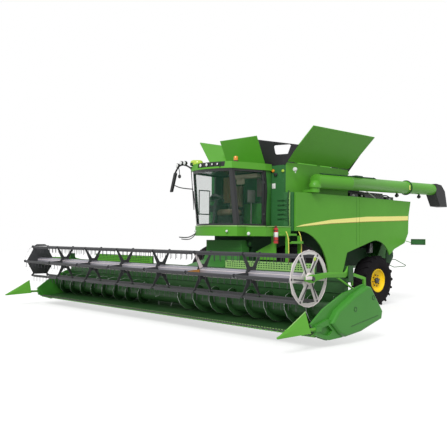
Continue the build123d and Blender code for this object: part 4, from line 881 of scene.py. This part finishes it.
def addDeck():
    near, far = deck["y"], deck["y"] + deck["thick"]
    top = slab((0.770, near, 3.352), (1.33, far, 3.392), 0.001, 1)
    front = slab((1.343, near, 3.20), (1.348, far, 3.345), 0.001, 1)
    grille = [repeated(bar, deck["bars"], (0, deck["pitch"], 0)) for bar in (top, front)]
    dress(grille, "screen_bars", steelWorn)
    boxes = [slab((1.345, 2.55, 3.20), (1.40, 2.95, 3.33), 0.012, 3), slab((1.345, 4.46, 3.19),
                                                                           (1.38, 4.86, 3.28), 0.010, 3),
             roundBar((1.345, 3.10, 3.26), (1.42, 3.10, 3.26), 0.06, 24, bevel=0.008)]
    dress(boxes, "deck_boxes", blackPaint)
    small = [slab((1.402, 2.66, 3.235), (1.408, 2.76, 3.285), 0.002, 2),
             slab((1.372, 4.60, 3.215), (1.384, 4.70, 3.255), 0.002, 2),
             turned([(0.03, 0), (0.031, 0.012), (0.02, 0.018)], (1.42, 3.10, 3.26), (1, 0, 0), 16),
             roundBar((1.36, 3.42, 3.42), (1.44, 3.78, 3.22), 0.014, 10)]
    dress(small, "deck_tags_and_strut", whitePaint)
    hoses = [bentTube([(1.30, 2.45, 3.36), (1.42, 2.60, 3.40), (1.40, 2.95, 3.36), (1.42, 3.20, 3.30),
                       (1.36, 3.34, 3.24)], 0.022), bentTube([(1.20, 4.38, 3.33), (1.38, 4.42, 3.35),
                                                              (1.39, 4.60, 3.30), (1.36, 4.72, 3.24)], 0.018),
             bentTube([(0.25, 4.50, 3.55), (0.25, 4.52, 3.60), (0.25, 4.62, 3.64), (0.25, 4.70, 3.64)], 0.075)]
    dress(hoses, "deck_hoses", blackPlastic)


# ---- marker plates at the rear and the line on the shields
marker = {"low": 1.787, "high": 2.275, "bottom": 1.815, "top": 1.995, "face": 5.2215}


def plateCorners(side, inset, insetUp):
    low, high = side * (marker["low"] + inset), side * (marker["high"] - inset)
    bottom, top = marker["bottom"] + insetUp, marker["top"] - insetUp
    return [(low, bottom), (high, bottom), (high, top), (low, top)]


def addMarkers():
    for side, tag in sides:
        frame = outlineSheet(plateCorners(side, 0.001, 0.001), "y", 5.220, 0.012,
                             holes=[plateCorners(side, 0.022, 0.022)], bevel=0.002)
        bolts = [turned([(0.012, 0), (0.012, 0.006), (0.008, 0.009)], (side * x, 5.2235, z), (0, -1, 0), 12)
                 for x in (marker["low"] + 0.06, marker["high"] - 0.06) for z in (1.86, 1.95)]
        dress([frame] + bolts, "marker_frame_" + tag, darkGreen, "shield_rear_%s_body" % tag)
        face = outlineSheet(plateCorners(side, 0.016, 0.015), "y", marker["face"], 0.003)
        dress(face, "marker_face_" + tag, markerGreen, "shield_rear_%s_body" % tag)
        line = sideSlab(side, (1.664, 2.50, 1.80), (1.6665, 2.504, 3.17), 0.0008, 1)
        dress(line, "panel_line_" + tag, darkGreen, "shield_front_%s_body" % tag)


addTank()
addUnloader()
addDeck()
addMarkers()
print("tank, tube and engine deck dressed")

# ---- wheel hubs: radius of the bolt ring, number of bolts and finish
hubs = {"front": (0.235, 10, rimYellow), "rear": (0.165, 8, blackPaint)}
hub = {"wall": 0.022, "dish": 0.30, "seat": 0.061, "sunk": 0.004, "turn": 0.2}


def addWheels():
    for end, (radius, count, finish) in hubs.items():
        for side, tag in sides:
            low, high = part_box("rim_%s_%s" % (end, tag))
            midY, midZ = (low.y + high.y) / 2 - axleY, (low.z + high.z) / 2
            disc = hub["dish"] * ((high.x - low.x) - hub["wall"]) / 2 + (low.x + high.x) / 2 * side
            face = side * (disc + hub["seat"] - hub["sunk"])
            pieces = [turned([(0.020, 0), (0.020, 0.014), (0.014, 0.016), (0.012, 0.030), (0.008, 0.033)],
                             (face, y, z), (side, 0, 0), 12) for y, z in ringPoints(count, radius, midY, midZ,
                                                                                    hub["turn"])]
            pieces.append(turned([(0.085, 0), (0.088, 0.05), (0.070, 0.075), (0.02, 0.08)], (face, midY, midZ),
                                 (side, 0, 0), 28))
            dress(pieces, "wheel_bolts_%s_%s" % (end, tag), finish, "wheel_%s_%s" % (end, tag))


addWheels()
print("wheels dressed")

# ---- reel
reel = {"y": -3.800, "z": 1.270, "radius": 0.480, "half": 5.090, "tube": 0.095, "bays": 7, "bats": 6,
        "highlightRing": 0.101, "rim": (0.520, 0.512), "bars": (0.12, 0.43), "armReach": (0.10, 0.42),
        "armHalf": (0.05, 0.024)}


def armOutline(angle):
    (inner, outer), (wide, narrow) = reel["armReach"], reel["armHalf"]
    corners = ((inner, wide), (outer, narrow), (outer, -narrow), (inner, -wide))
    return [(reel["y"] + reach * cos(angle) + half * cos(angle + 1.57),
             reel["z"] + reach * sin(angle) + half * sin(angle + 1.57)) for reach, half in corners]


def addReel():
    y, z, half, tube = reel["y"], reel["z"], reel["half"], reel["tube"]
    bay = 2 * half / reel["bays"]
    # pale lilac sleeves over the reel tube paint its sheen (painted highlight)
    sleeve = turned([(tube, 0), (tube + 0.004, 0.006), (tube + 0.004, bay - 0.036), (tube, bay - 0.030)],
                    (-half + 0.015, y, z), (1, 0, 0), 40)
    dress(repeated(sleeve, reel["bays"], (bay, 0, 0)), "reel_tube_sheen_sleeves", paintedSheenLilac,
          "reel_body")
    # pale lines along the reel tube are painted highlights
    highlightLines = [roundBar((-half + 0.02, lineY, lineZ), (half - 0.02, lineY, lineZ), 0.006, 8)
             for lineY, lineZ in ringPoints(3, reel["highlightRing"], y, z, 0.6)]
    dress(highlightLines, "reel_tube_highlight_lines", hubWhite, "reel_body")
    # bracing frame that links the bearings of the bats at the far end
    bats = ringPoints(reel["bats"], reel["radius"], y, z)
    holes = [ringPoints(16, 0.027, *place) for place in bats] + [ringPoints(6, 0.440, y, z)]
    frame = outlineSheet(ringPoints(12, 0.505, y, z, pi / 12), "x", -half + 0.020, 0.010, holes=holes,
                         bevel=0.002)
    dress(frame, "reel_end_frame", reelDark, "reel_body")
    # rim, hub, bars and reflector on the near disc
    outer, inner = reel["rim"]
    rim = outlineSheet(ringPoints(24, outer, y, z), "x", half + 0.010, 0.010,
                       holes=[ringPoints(24, inner, y, z)], bevel=0.002)
    dress(rim, "disc_rim", hubWhite, "reel_body")
    pieces = [turned([(0.105, 0), (0.108, 0.012), (0.090, 0.030), (0.060, 0.034)], (half + 0.007, y, z),
                     (1, 0, 0), 32)]
    pieces += [roundBar((half + 0.02, *place), (half + 0.040, *place), 0.011, 6)
               for place in ringPoints(6, 0.078, y, z, 0.3)]
    dress(pieces, "disc_hub", hubWhite, "reel_body")
    mark = turned([(0.038, 0), (0.040, 0.006), (0.030, 0.012), (0.01, 0.014)], (half + 0.007, -3.63, 1.62),
                  (1, 0, 0), 20)
    dress(mark, "disc_reflector", domeLens, "reel_body")
    inner, outer = reel["bars"]
    bars = [roundBar((half + 0.012, *foot), (half + 0.012, *tip), 0.012, 8)
            for foot, tip in zip(ringPoints(reel["bats"], inner, y, z, 0.25),
                                 ringPoints(reel["bats"], outer, y, z))]
    dress(bars, "disc_bars", reelDark, "reel_body")
    # a pale and an ochre sheet on two spider arms paint their highlights
    for name, material, angle in (("pale", hubWhite, 2 * pi / 3), ("ochre", armHighlightOchre, pi)):
        arm = outlineSheet(armOutline(angle), "x", -half + 5 * bay + 0.010, 0.004)
        dress(arm, "spider_arm_highlight_" + name, material, "reel_body")


# ---- reel arms
arm = {"x": 5.175, "thick": 0.046, "barX": 5.178, "half": 0.020, "pivot": (-2.680, 1.420),
       "outline": [(-3.990, 1.235), (-3.880, 1.205), (-3.800, 1.195), (-3.700, 1.235), (-3.380, 1.282),
                   (-2.830, 1.261), (-2.720, 1.330), (-2.640, 1.365), (-2.620, 1.420), (-2.640, 1.465),
                   (-2.680, 1.480), (-2.730, 1.465), (-2.770, 1.400), (-2.830, 1.357), (-3.380, 1.374),
                   (-3.700, 1.345), (-3.800, 1.350), (-3.990, 1.310)],
       "rearBar": [(-2.600, 1.285), (-2.240, 1.200), (-2.210, 1.000), (-2.150, 1.000), (-2.165, 1.235),
                   (-2.240, 1.260), (-2.600, 1.345)]}


def addReelArms():
    # a level arm on each side, and the bar behind its pivot
    holes = [ringPoints(28, 0.0455, reel["y"], reel["z"]), ringPoints(20, 0.0305, *arm["pivot"])]
    arms, bars, rests = [], [], []
    for side, tag in sides:
        x = side * arm["barX"]
        arms.append(outlineSheet(arm["outline"], "x", side * arm["x"], arm["thick"], holes=holes, bevel=0.004))
        bars.append(outlineSheet(arm["rearBar"], "x", x, 2 * arm["half"], bevel=0.004))
        bars.append(slab((x - 0.02, -2.615, 1.10), (x + 0.02, -2.585, 1.36), 0.003, 2))
    arms = dress(arms, "reel_arm_pair", bodyGreen, "reel_arms_body")
    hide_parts("reel_arms")
    dress(bars, "arm_rear_bars", bodyGreen, "feeder")
    # the rest that the lowered arm lies on
    for side, tag in sides:
        x = side * arm["barX"]
        rests.append(roundBar((x, -2.520, 1.010), (x, -3.035, 1.252), 0.019, 16, bevel=0.003))
        rests.append(slab((x - 0.022, -3.065, 1.240), (x + 0.022, -3.005, 1.262), 0.003, 2))
    dress(rests, "arm_rests", bodyGreen, "feeder")
    box = slab((5.200, -4.020, 1.262), (5.226, -3.860, 1.322), 0.005, 2)
    dress(box, "arm_end_box", hubWhite, "reel_arms_body")


# ---- header auger and cutterbar
auger = {"y": -3.060, "z": 0.600, "radius": 0.299, "pitch": 0.550, "steps": 12, "start": 5.090, "end": 0.700,
         "fingers": 10, "fingerHalf": 0.60, "fingerTurn": 2.4, "root": 0.185, "tip": 0.292}
lip = {"half": 5.140, "pitch": 0.0762}


def addHeaderAuger():
    # worn edges along the screw flights, and the fingers between them
    span = auger["start"] - auger["end"]
    count = int(span / auger["pitch"] * auger["steps"])
    edges = []
    for side, tag in sides:
        points = []
        for n in range(count + 1):
            turn = 2 * pi * n / auger["steps"]
            points.append((side * (auger["start"] - span * n / count), auger["y"] + auger["radius"] * sin(turn),
                           auger["z"] + auger["radius"] * cos(turn)))
        edges.append(bentTube(points, 0.006, 1, straight=True))
    dress(edges, "flight_edges", galvanised, "header_auger_body", angle=60)
    fingers = []
    for n in range(auger["fingers"]):
        x = -auger["fingerHalf"] + 2 * auger["fingerHalf"] * n / (auger["fingers"] - 1)
        y, z = cos(auger["fingerTurn"] * n), sin(auger["fingerTurn"] * n)
        root, tip = [(x, auger["y"] + reach * y, auger["z"] + reach * z)
                     for reach in (auger["root"], auger["tip"])]
        fingers.append(roundBar(root, tip, 0.008, 10))
    dress(fingers, "auger_fingers", galvanised, "header_auger_body")


def addLip():
    # the lip's lit top line is a painted highlight
    edge = slab((-lip["half"], -3.662, 0.2402), (lip["half"], -3.640, 0.2540), 0.003, 2)
    dress(edge, "lip_edge", paintedHighlightGreen, "feeder")
    count = int(2 * lip["half"] / lip["pitch"])
    start = -lip["pitch"] * (count - 1) / 2
    guard = roundBar((start, -3.665, 0.247), (start, -3.798, 0.236), 0.013, 6, tip=0.003)
    dress(repeated(guard, count, (lip["pitch"], 0, 0)), "knife_guards", blackPaint, "feeder")
    blade = outlineSheet([(start, -3.690), (start + 0.034, -3.772), (start + 0.042, -3.772),
                          (start + lip["pitch"], -3.690)], "z", 0.2425, 0.003)
    dress(repeated(blade, count - 1, (lip["pitch"], 0, 0)), "knife_sections", steelWorn,
          "feeder")


# ---- back plates, end shields and dividers
# the near punched plate takes the pale painted highlight green, the far one the body green
punched = {"near": (1.765, 4.385, paintedHighlightGreen), "far": (-3.735, -1.015, bodyGreen), "rows": 3, "rowStep": 0.045,
           "pitch": 0.075, "slot": (0.05, 0.022), "bottom": 1.312, "top": 1.488, "y": -2.7430}
endTrim = {"fasteners": ((-2.08, 0.843), (-2.68, 0.657)), "crease": ((-2.82, 0.342), (0.90, 0.142)),
           "ridge": ((-4.74, 0.322), (0.68, 0.378)), "ridgeX": 5.235}


def addBackPlates():
    wide, tall = punched["slot"]
    for name in ("near", "far"):
        low, high, material = punched[name]
        count = int((high - low - 0.10) / punched["pitch"])
        slots = []
        for row in range(punched["rows"]):
            z = 1.345 + punched["rowStep"] * row
            for n in range(count):
                x = low + 0.06 + punched["pitch"] * n
                slots.append([(x, z), (x + wide, z), (x + wide, z + tall), (x, z + tall)])
        outline = [(low, punched["bottom"]), (high, punched["bottom"]), (high, punched["top"]),
                   (low, punched["top"])]
        dress(outlineSheet(outline, "y", punched["y"], 0.005, holes=slots), "punched_plate_" + name, material,
              "feeder")
    # the back beads take the same deep painted shade green as the header frame
    beads = [roundBar((-5.10, -2.746, z), (5.10, -2.746, z), 0.012, 12) for z in (0.70, 0.95)]
    dress(beads, "back_beads", paintedDeepShadeGreen, "feeder")


def faceAt(name, side, y, z):
    hit, place, normal, index = nodes[name].ray_cast(at(side * 7, y, z), Vector((-side, 0, 0)))
    return place.x if hit else side * 5.30


def addEndTrim():
    for side, tag in sides:
        # the recessed fasteners and the crease line are drawn in the deep painted shade green
        marks = [turned([(0.046, 0), (0.048, 0.008), (0.036, 0.010), (0.032, 0.003), (0.004, 0.003)],
                        (faceAt("header_ends", side, y, z) - side * 0.004, y, z), (side, 0, 0), 28)
                 for y, z in endTrim["fasteners"]]
        (startY, startZ), (runY, runZ) = endTrim["crease"]
        line = [(startY + runY * n / 7, startZ + runZ * n / 7) for n in range(8)]
        marks.append(bentTube([(faceAt("header_ends", side, y, z), y, z) for y, z in line], 0.006))
        dress(marks, "end_fasteners_" + tag, paintedDeepShadeGreen, "feeder")
        # the ridge along each divider is a painted highlight
        (startY, startZ), (runY, runZ) = endTrim["ridge"]
        ridge = [(side * endTrim["ridgeX"], startY + runY * n / 6, startZ + runZ * n / 6) for n in range(7)]
        dress(bentTube(ridge, 0.009), "divider_ridge_" + tag, paintedHighlightGreen, "feeder")


addReel()
addReelArms()
addHeaderAuger()
addLip()
addBackPlates()
addEndTrim()
print("header and reel dressed")

# ---- mirror, roof lamps and dome
mirrorSizes = {"y": -1.70, "lamps": ((-0.93, 4.010), (-1.09, 4.022), (-1.25, 3.965)),
               "shell": [(-1.335, 3.775), (-1.425, 3.780), (-1.595, 3.270), (-1.580, 3.245), (-1.505, 3.255),
                         (-1.330, 3.750)], "glass": [(-1.348, 3.755), (-1.415, 3.760), (-1.575, 3.285),
                                                     (-1.508, 3.272)]}
dome = {"place": (-0.70, -1.60), "cut": -0.45, "base": 3.925, "cap": 4.002}


def addMirror():
    y = mirrorSizes["y"]
    shell = outlineSheet(mirrorSizes["shell"], "y", -1.705, 0.060, bevel=0.014)
    small = turned([(0.050, 0), (0.056, 0.012), (0.050, 0.030), (0.02, 0.036)], (-1.201, -1.690, 3.667),
                   (0, -1, 0), 28)
    stay = bentTube([(-0.745, -1.60, 3.82), (-0.864, y, 3.945), (-1.163, y, 3.995), (-1.335, y, 3.869),
                     (-1.400, y, 3.765)], 0.024, 3)
    stalk = bentTube([(-1.26, y, 3.93), (-1.21, y, 3.85), (-1.201, y, 3.70)], 0.010)
    foot = bentTube([(-0.745, -1.60, 3.30), (-1.10, -1.69, 3.33), (-1.40, y, 3.42), (-1.46, y, 3.45)], 0.014)
    mirror = dress([shell, small, stay, stalk, foot], "mirror_body", blackPlastic)
    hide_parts("mirror_right")
    glass = outlineSheet(mirrorSizes["glass"], "y", -1.672, 0.005)
    dress(glass, "mirror_glass", mirrorFace)
    housings = [turned([(0.040, 0), (0.058, 0.025), (0.060, 0.070), (0.050, 0.078)], (x, -1.680, z), (0, -1, 0),
                       24) for x, z in mirrorSizes["lamps"]]
    dress(housings, "mirror_arm_lamps", blackPlastic)
    lenses = [turned([(0.048, 0), (0.044, 0.010), (0.02, 0.016)], (x, -1.757, z), (0, -1, 0), 24)
              for x, z in mirrorSizes["lamps"]]
    dress(lenses, "mirror_arm_lenses", lampLens)


def addDome():
    # the lamp node without its dome, and the dome again further out, in two colours
    bodies = copied(nodes["lamps"])
    mend(bodies, 0.0001)
    cutAway(bodies, lambda centre: centre.x < dome["cut"])
    dress(bodies, "lamp_bodies", lampLens)
    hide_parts("lamps")
    base = turned([(0.090, 0), (0.115, 0.015), (0.118, 0.060), (0.110, 0.078)], (*dome["place"], dome["base"]),
                  (0, 0, 1), 32)
    dress(base, "dome_base", darkGreen)
    cap = turned([(0.108, 0), (0.106, 0.030), (0.090, 0.058), (0.055, 0.078), (0.01, 0.086)],
                 (*dome["place"], dome["cap"]), (0, 0, 1), 32)
    dress(cap, "dome_cap", domeLens)


addMirror()
addDome()
print("mirror and dome placed")

# ---- drives and brackets around the rear wheel, and the rear lamps
drive = {"face": 0.97, "shaft": 0.73, "pulleys": ((2.42, 1.28, 0.27), (2.72, 1.66, 0.13), (2.28, 1.72, 0.10)),
         "beltX": 1.002, "belt": [(2.18, 1.20), (2.17, 1.45), (2.19, 1.76), (2.28, 1.812), (2.62, 1.775),
                                  (2.80, 1.755), (2.842, 1.64), (2.68, 1.25), (2.60, 1.08), (2.42, 1.02),
                                  (2.22, 1.08), (2.18, 1.20)], "bracket": [(4.60, 1.50), (4.74, 1.96),
                                                                           (4.86, 1.96), (5.00, 1.52),
                                                                           (5.00, 1.42), (4.76, 1.12),
                                                                           (4.60, 1.10)]}
rearLamp = {"inner": 1.20, "outer": 1.44, "bottom": 2.02, "top": 2.14, "edge": 0.012, "gap": 0.004}


def pulley(side, y, z, radius):
    profile = [(radius, 0), (radius, 0.010), (radius - 0.02, 0.020), (radius - 0.02, 0.045), (radius, 0.055),
               (radius, 0.065), (0.06, 0.068), (0.05, 0.09)]
    return [turned(profile, (side * drive["face"], y, z), (side, 0, 0), 36),
            roundBar((side * drive["shaft"], y, z), (side * 0.98, y, z), 0.03, 14)]


def addDrives():
    for side, tag in sides:
        wheels = [piece for place in drive["pulleys"] for piece in pulley(side, *place)]
        dress(wheels, "drive_pulleys_" + tag, darkGreen)
        belt = [bentTube([(side * drive["beltX"], y, z) for y, z in drive["belt"]], 0.014),
                sideSlab(side, (0.76, 2.18, 0.86), (0.93, 2.84, 1.02), 0.012, 2),
                sideSlab(side, (0.745, 2.10, 0.90), (0.78, 2.86, 1.86), 0.006, 2)]
        dress(belt, "drive_belts_" + tag, blackPaint)
        box = [sideSlab(side, (0.98, 3.96, 1.56), (1.10, 4.16, 1.86), 0.012, 2),
               sideSlab(side, (0.72, 4.02, 1.70), (1.00, 4.10, 1.76), 0.006, 2)]
        dress(box, "arch_box_" + tag, blackPaint)
        line = sideSlab(side, (1.1005, 4.03, 1.58), (1.1045, 4.06, 1.84), 0.001, 1)
        dress(line, "arch_box_stripe_" + tag, whitePaint)
        bracket = outlineSheet(drive["bracket"], "x", side * 1.28, 0.030,
                               holes=[ringPoints(16, 0.06, 4.80, 1.55)], bevel=0.004)
        dress(bracket, "rear_bracket_" + tag, darkGreen)


def addRear():
    red, amber, frames = [], [], []
    edge, gap, bottom, top = rearLamp["edge"], rearLamp["gap"], rearLamp["bottom"], rearLamp["top"]
    for side, tag in sides:
        low, high = sorted((side * rearLamp["inner"], side * rearLamp["outer"]))
        middle = (low + high) / 2
        frames.append(slab((low, 5.328, bottom), (high, 5.344, top), 0.006, 2))
        red.append(slab((low + edge, 5.340, bottom + edge), (middle - gap, 5.352, top - edge), 0.005, 2))
        amber.append(slab((middle + gap, 5.340, bottom + edge), (high - edge, 5.352, top - edge), 0.005, 2))
    dress(frames, "rear_lamp_frames", blackPlastic)
    dress(red, "rear_lamps_red", redLens)
    dress(amber, "rear_lamps_amber", amberLens)
    # the slats are in the painted shade green
    slat = slab((-0.85, 5.328, 2.34), (0.85, 5.342, 2.37), 0.004, 2)
    dress(repeated(slat, 10, (0, 0, 0.06)), "rear_slats", paintedShadeGreen)


addDrives()
addRear()
print("drives and rear dressed")


# ---- stage, light and camera
stageSizes = {"floor": 120.0, "sun": 1.9, "fill": 0.75, "glow": 0.62, "sunTurn": (radians(48), 0, radians(28))}


def addStage():
    bpy.ops.object.select_all(action="DESELECT")
    bpy.ops.mesh.primitive_plane_add(size=stageSizes["floor"], location=(0, 0, 0))
    floor = bpy.context.object
    floor.name = "floor"
    bpy.ops.object.transform_apply(location=True, rotation=True, scale=True)
    material = bpy.data.materials.new("floorWhite")
    material.use_nodes = True
    tree = material.node_tree
    tree.nodes.remove(tree.nodes["Principled BSDF"])
    diffuse = addNode(tree, "ShaderNodeBsdfDiffuse", Color=(0.42, 0.42, 0.42, 1))
    glow = addNode(tree, "ShaderNodeEmission", Color=(1, 1, 1, 1))
    path = addNode(tree, "ShaderNodeLightPath")
    seen = maths(tree, "MAXIMUM", path.outputs["Is Camera Ray"], path.outputs["Is Glossy Ray"])
    tree.links.new(maths(tree, "MULTIPLY", seen, stageSizes["glow"]), glow.inputs["Strength"])
    both = addNode(tree, "ShaderNodeAddShader")
    tree.links.new(diffuse.outputs[0], both.inputs[0])
    tree.links.new(glow.outputs[0], both.inputs[1])
    tree.links.new(both.outputs[0], tree.nodes["Material Output"].inputs["Surface"])
    floor.data.materials.append(material)

    world = bpy.data.worlds.new("paleRoom")
    bpy.context.scene.world = world
    world.use_nodes = True
    tree = world.node_tree
    back = tree.nodes["Background"]
    back.inputs["Color"].default_value = (1, 1, 1, 1)
    path = addNode(tree, "ShaderNodeLightPath")
    seen = maths(tree, "MAXIMUM", path.outputs["Is Camera Ray"], path.outputs["Is Transmission Ray"])
    tree.links.new(spread(tree, seen, 0.0, 1.0, stageSizes["fill"], 1.0), back.inputs["Strength"])

    bpy.ops.object.light_add(type="SUN", rotation=stageSizes["sunTurn"])
    sun = bpy.context.object
    sun.data.energy = stageSizes["sun"]
    sun.data.angle = radians(25)


def addCamera():
    yaw, pitch, roll = 0.81813, 0.02041, 0.007936
    forward = Vector((-sin(yaw) * cos(pitch), cos(yaw) * cos(pitch), sin(pitch)))
    flat = Vector((cos(yaw), sin(yaw), 0))
    up = flat.cross(forward)
    right = cos(roll) * flat + sin(roll) * up
    top = -sin(roll) * flat + cos(roll) * up
    bpy.ops.object.camera_add(location=at(12.666, -13.023, 2.018))
    camera = bpy.context.object
    camera.rotation_euler = Matrix((right, top, -forward)).transposed().to_euler()
    camera.data.sensor_width = 36.0
    camera.data.lens = 650.95 / 447 * 36.0
    camera.data.clip_end = 300
    bpy.context.scene.camera = camera


addStage()
addCamera()
bpy.context.scene.view_settings.view_transform = "Standard"
print("stage ready")
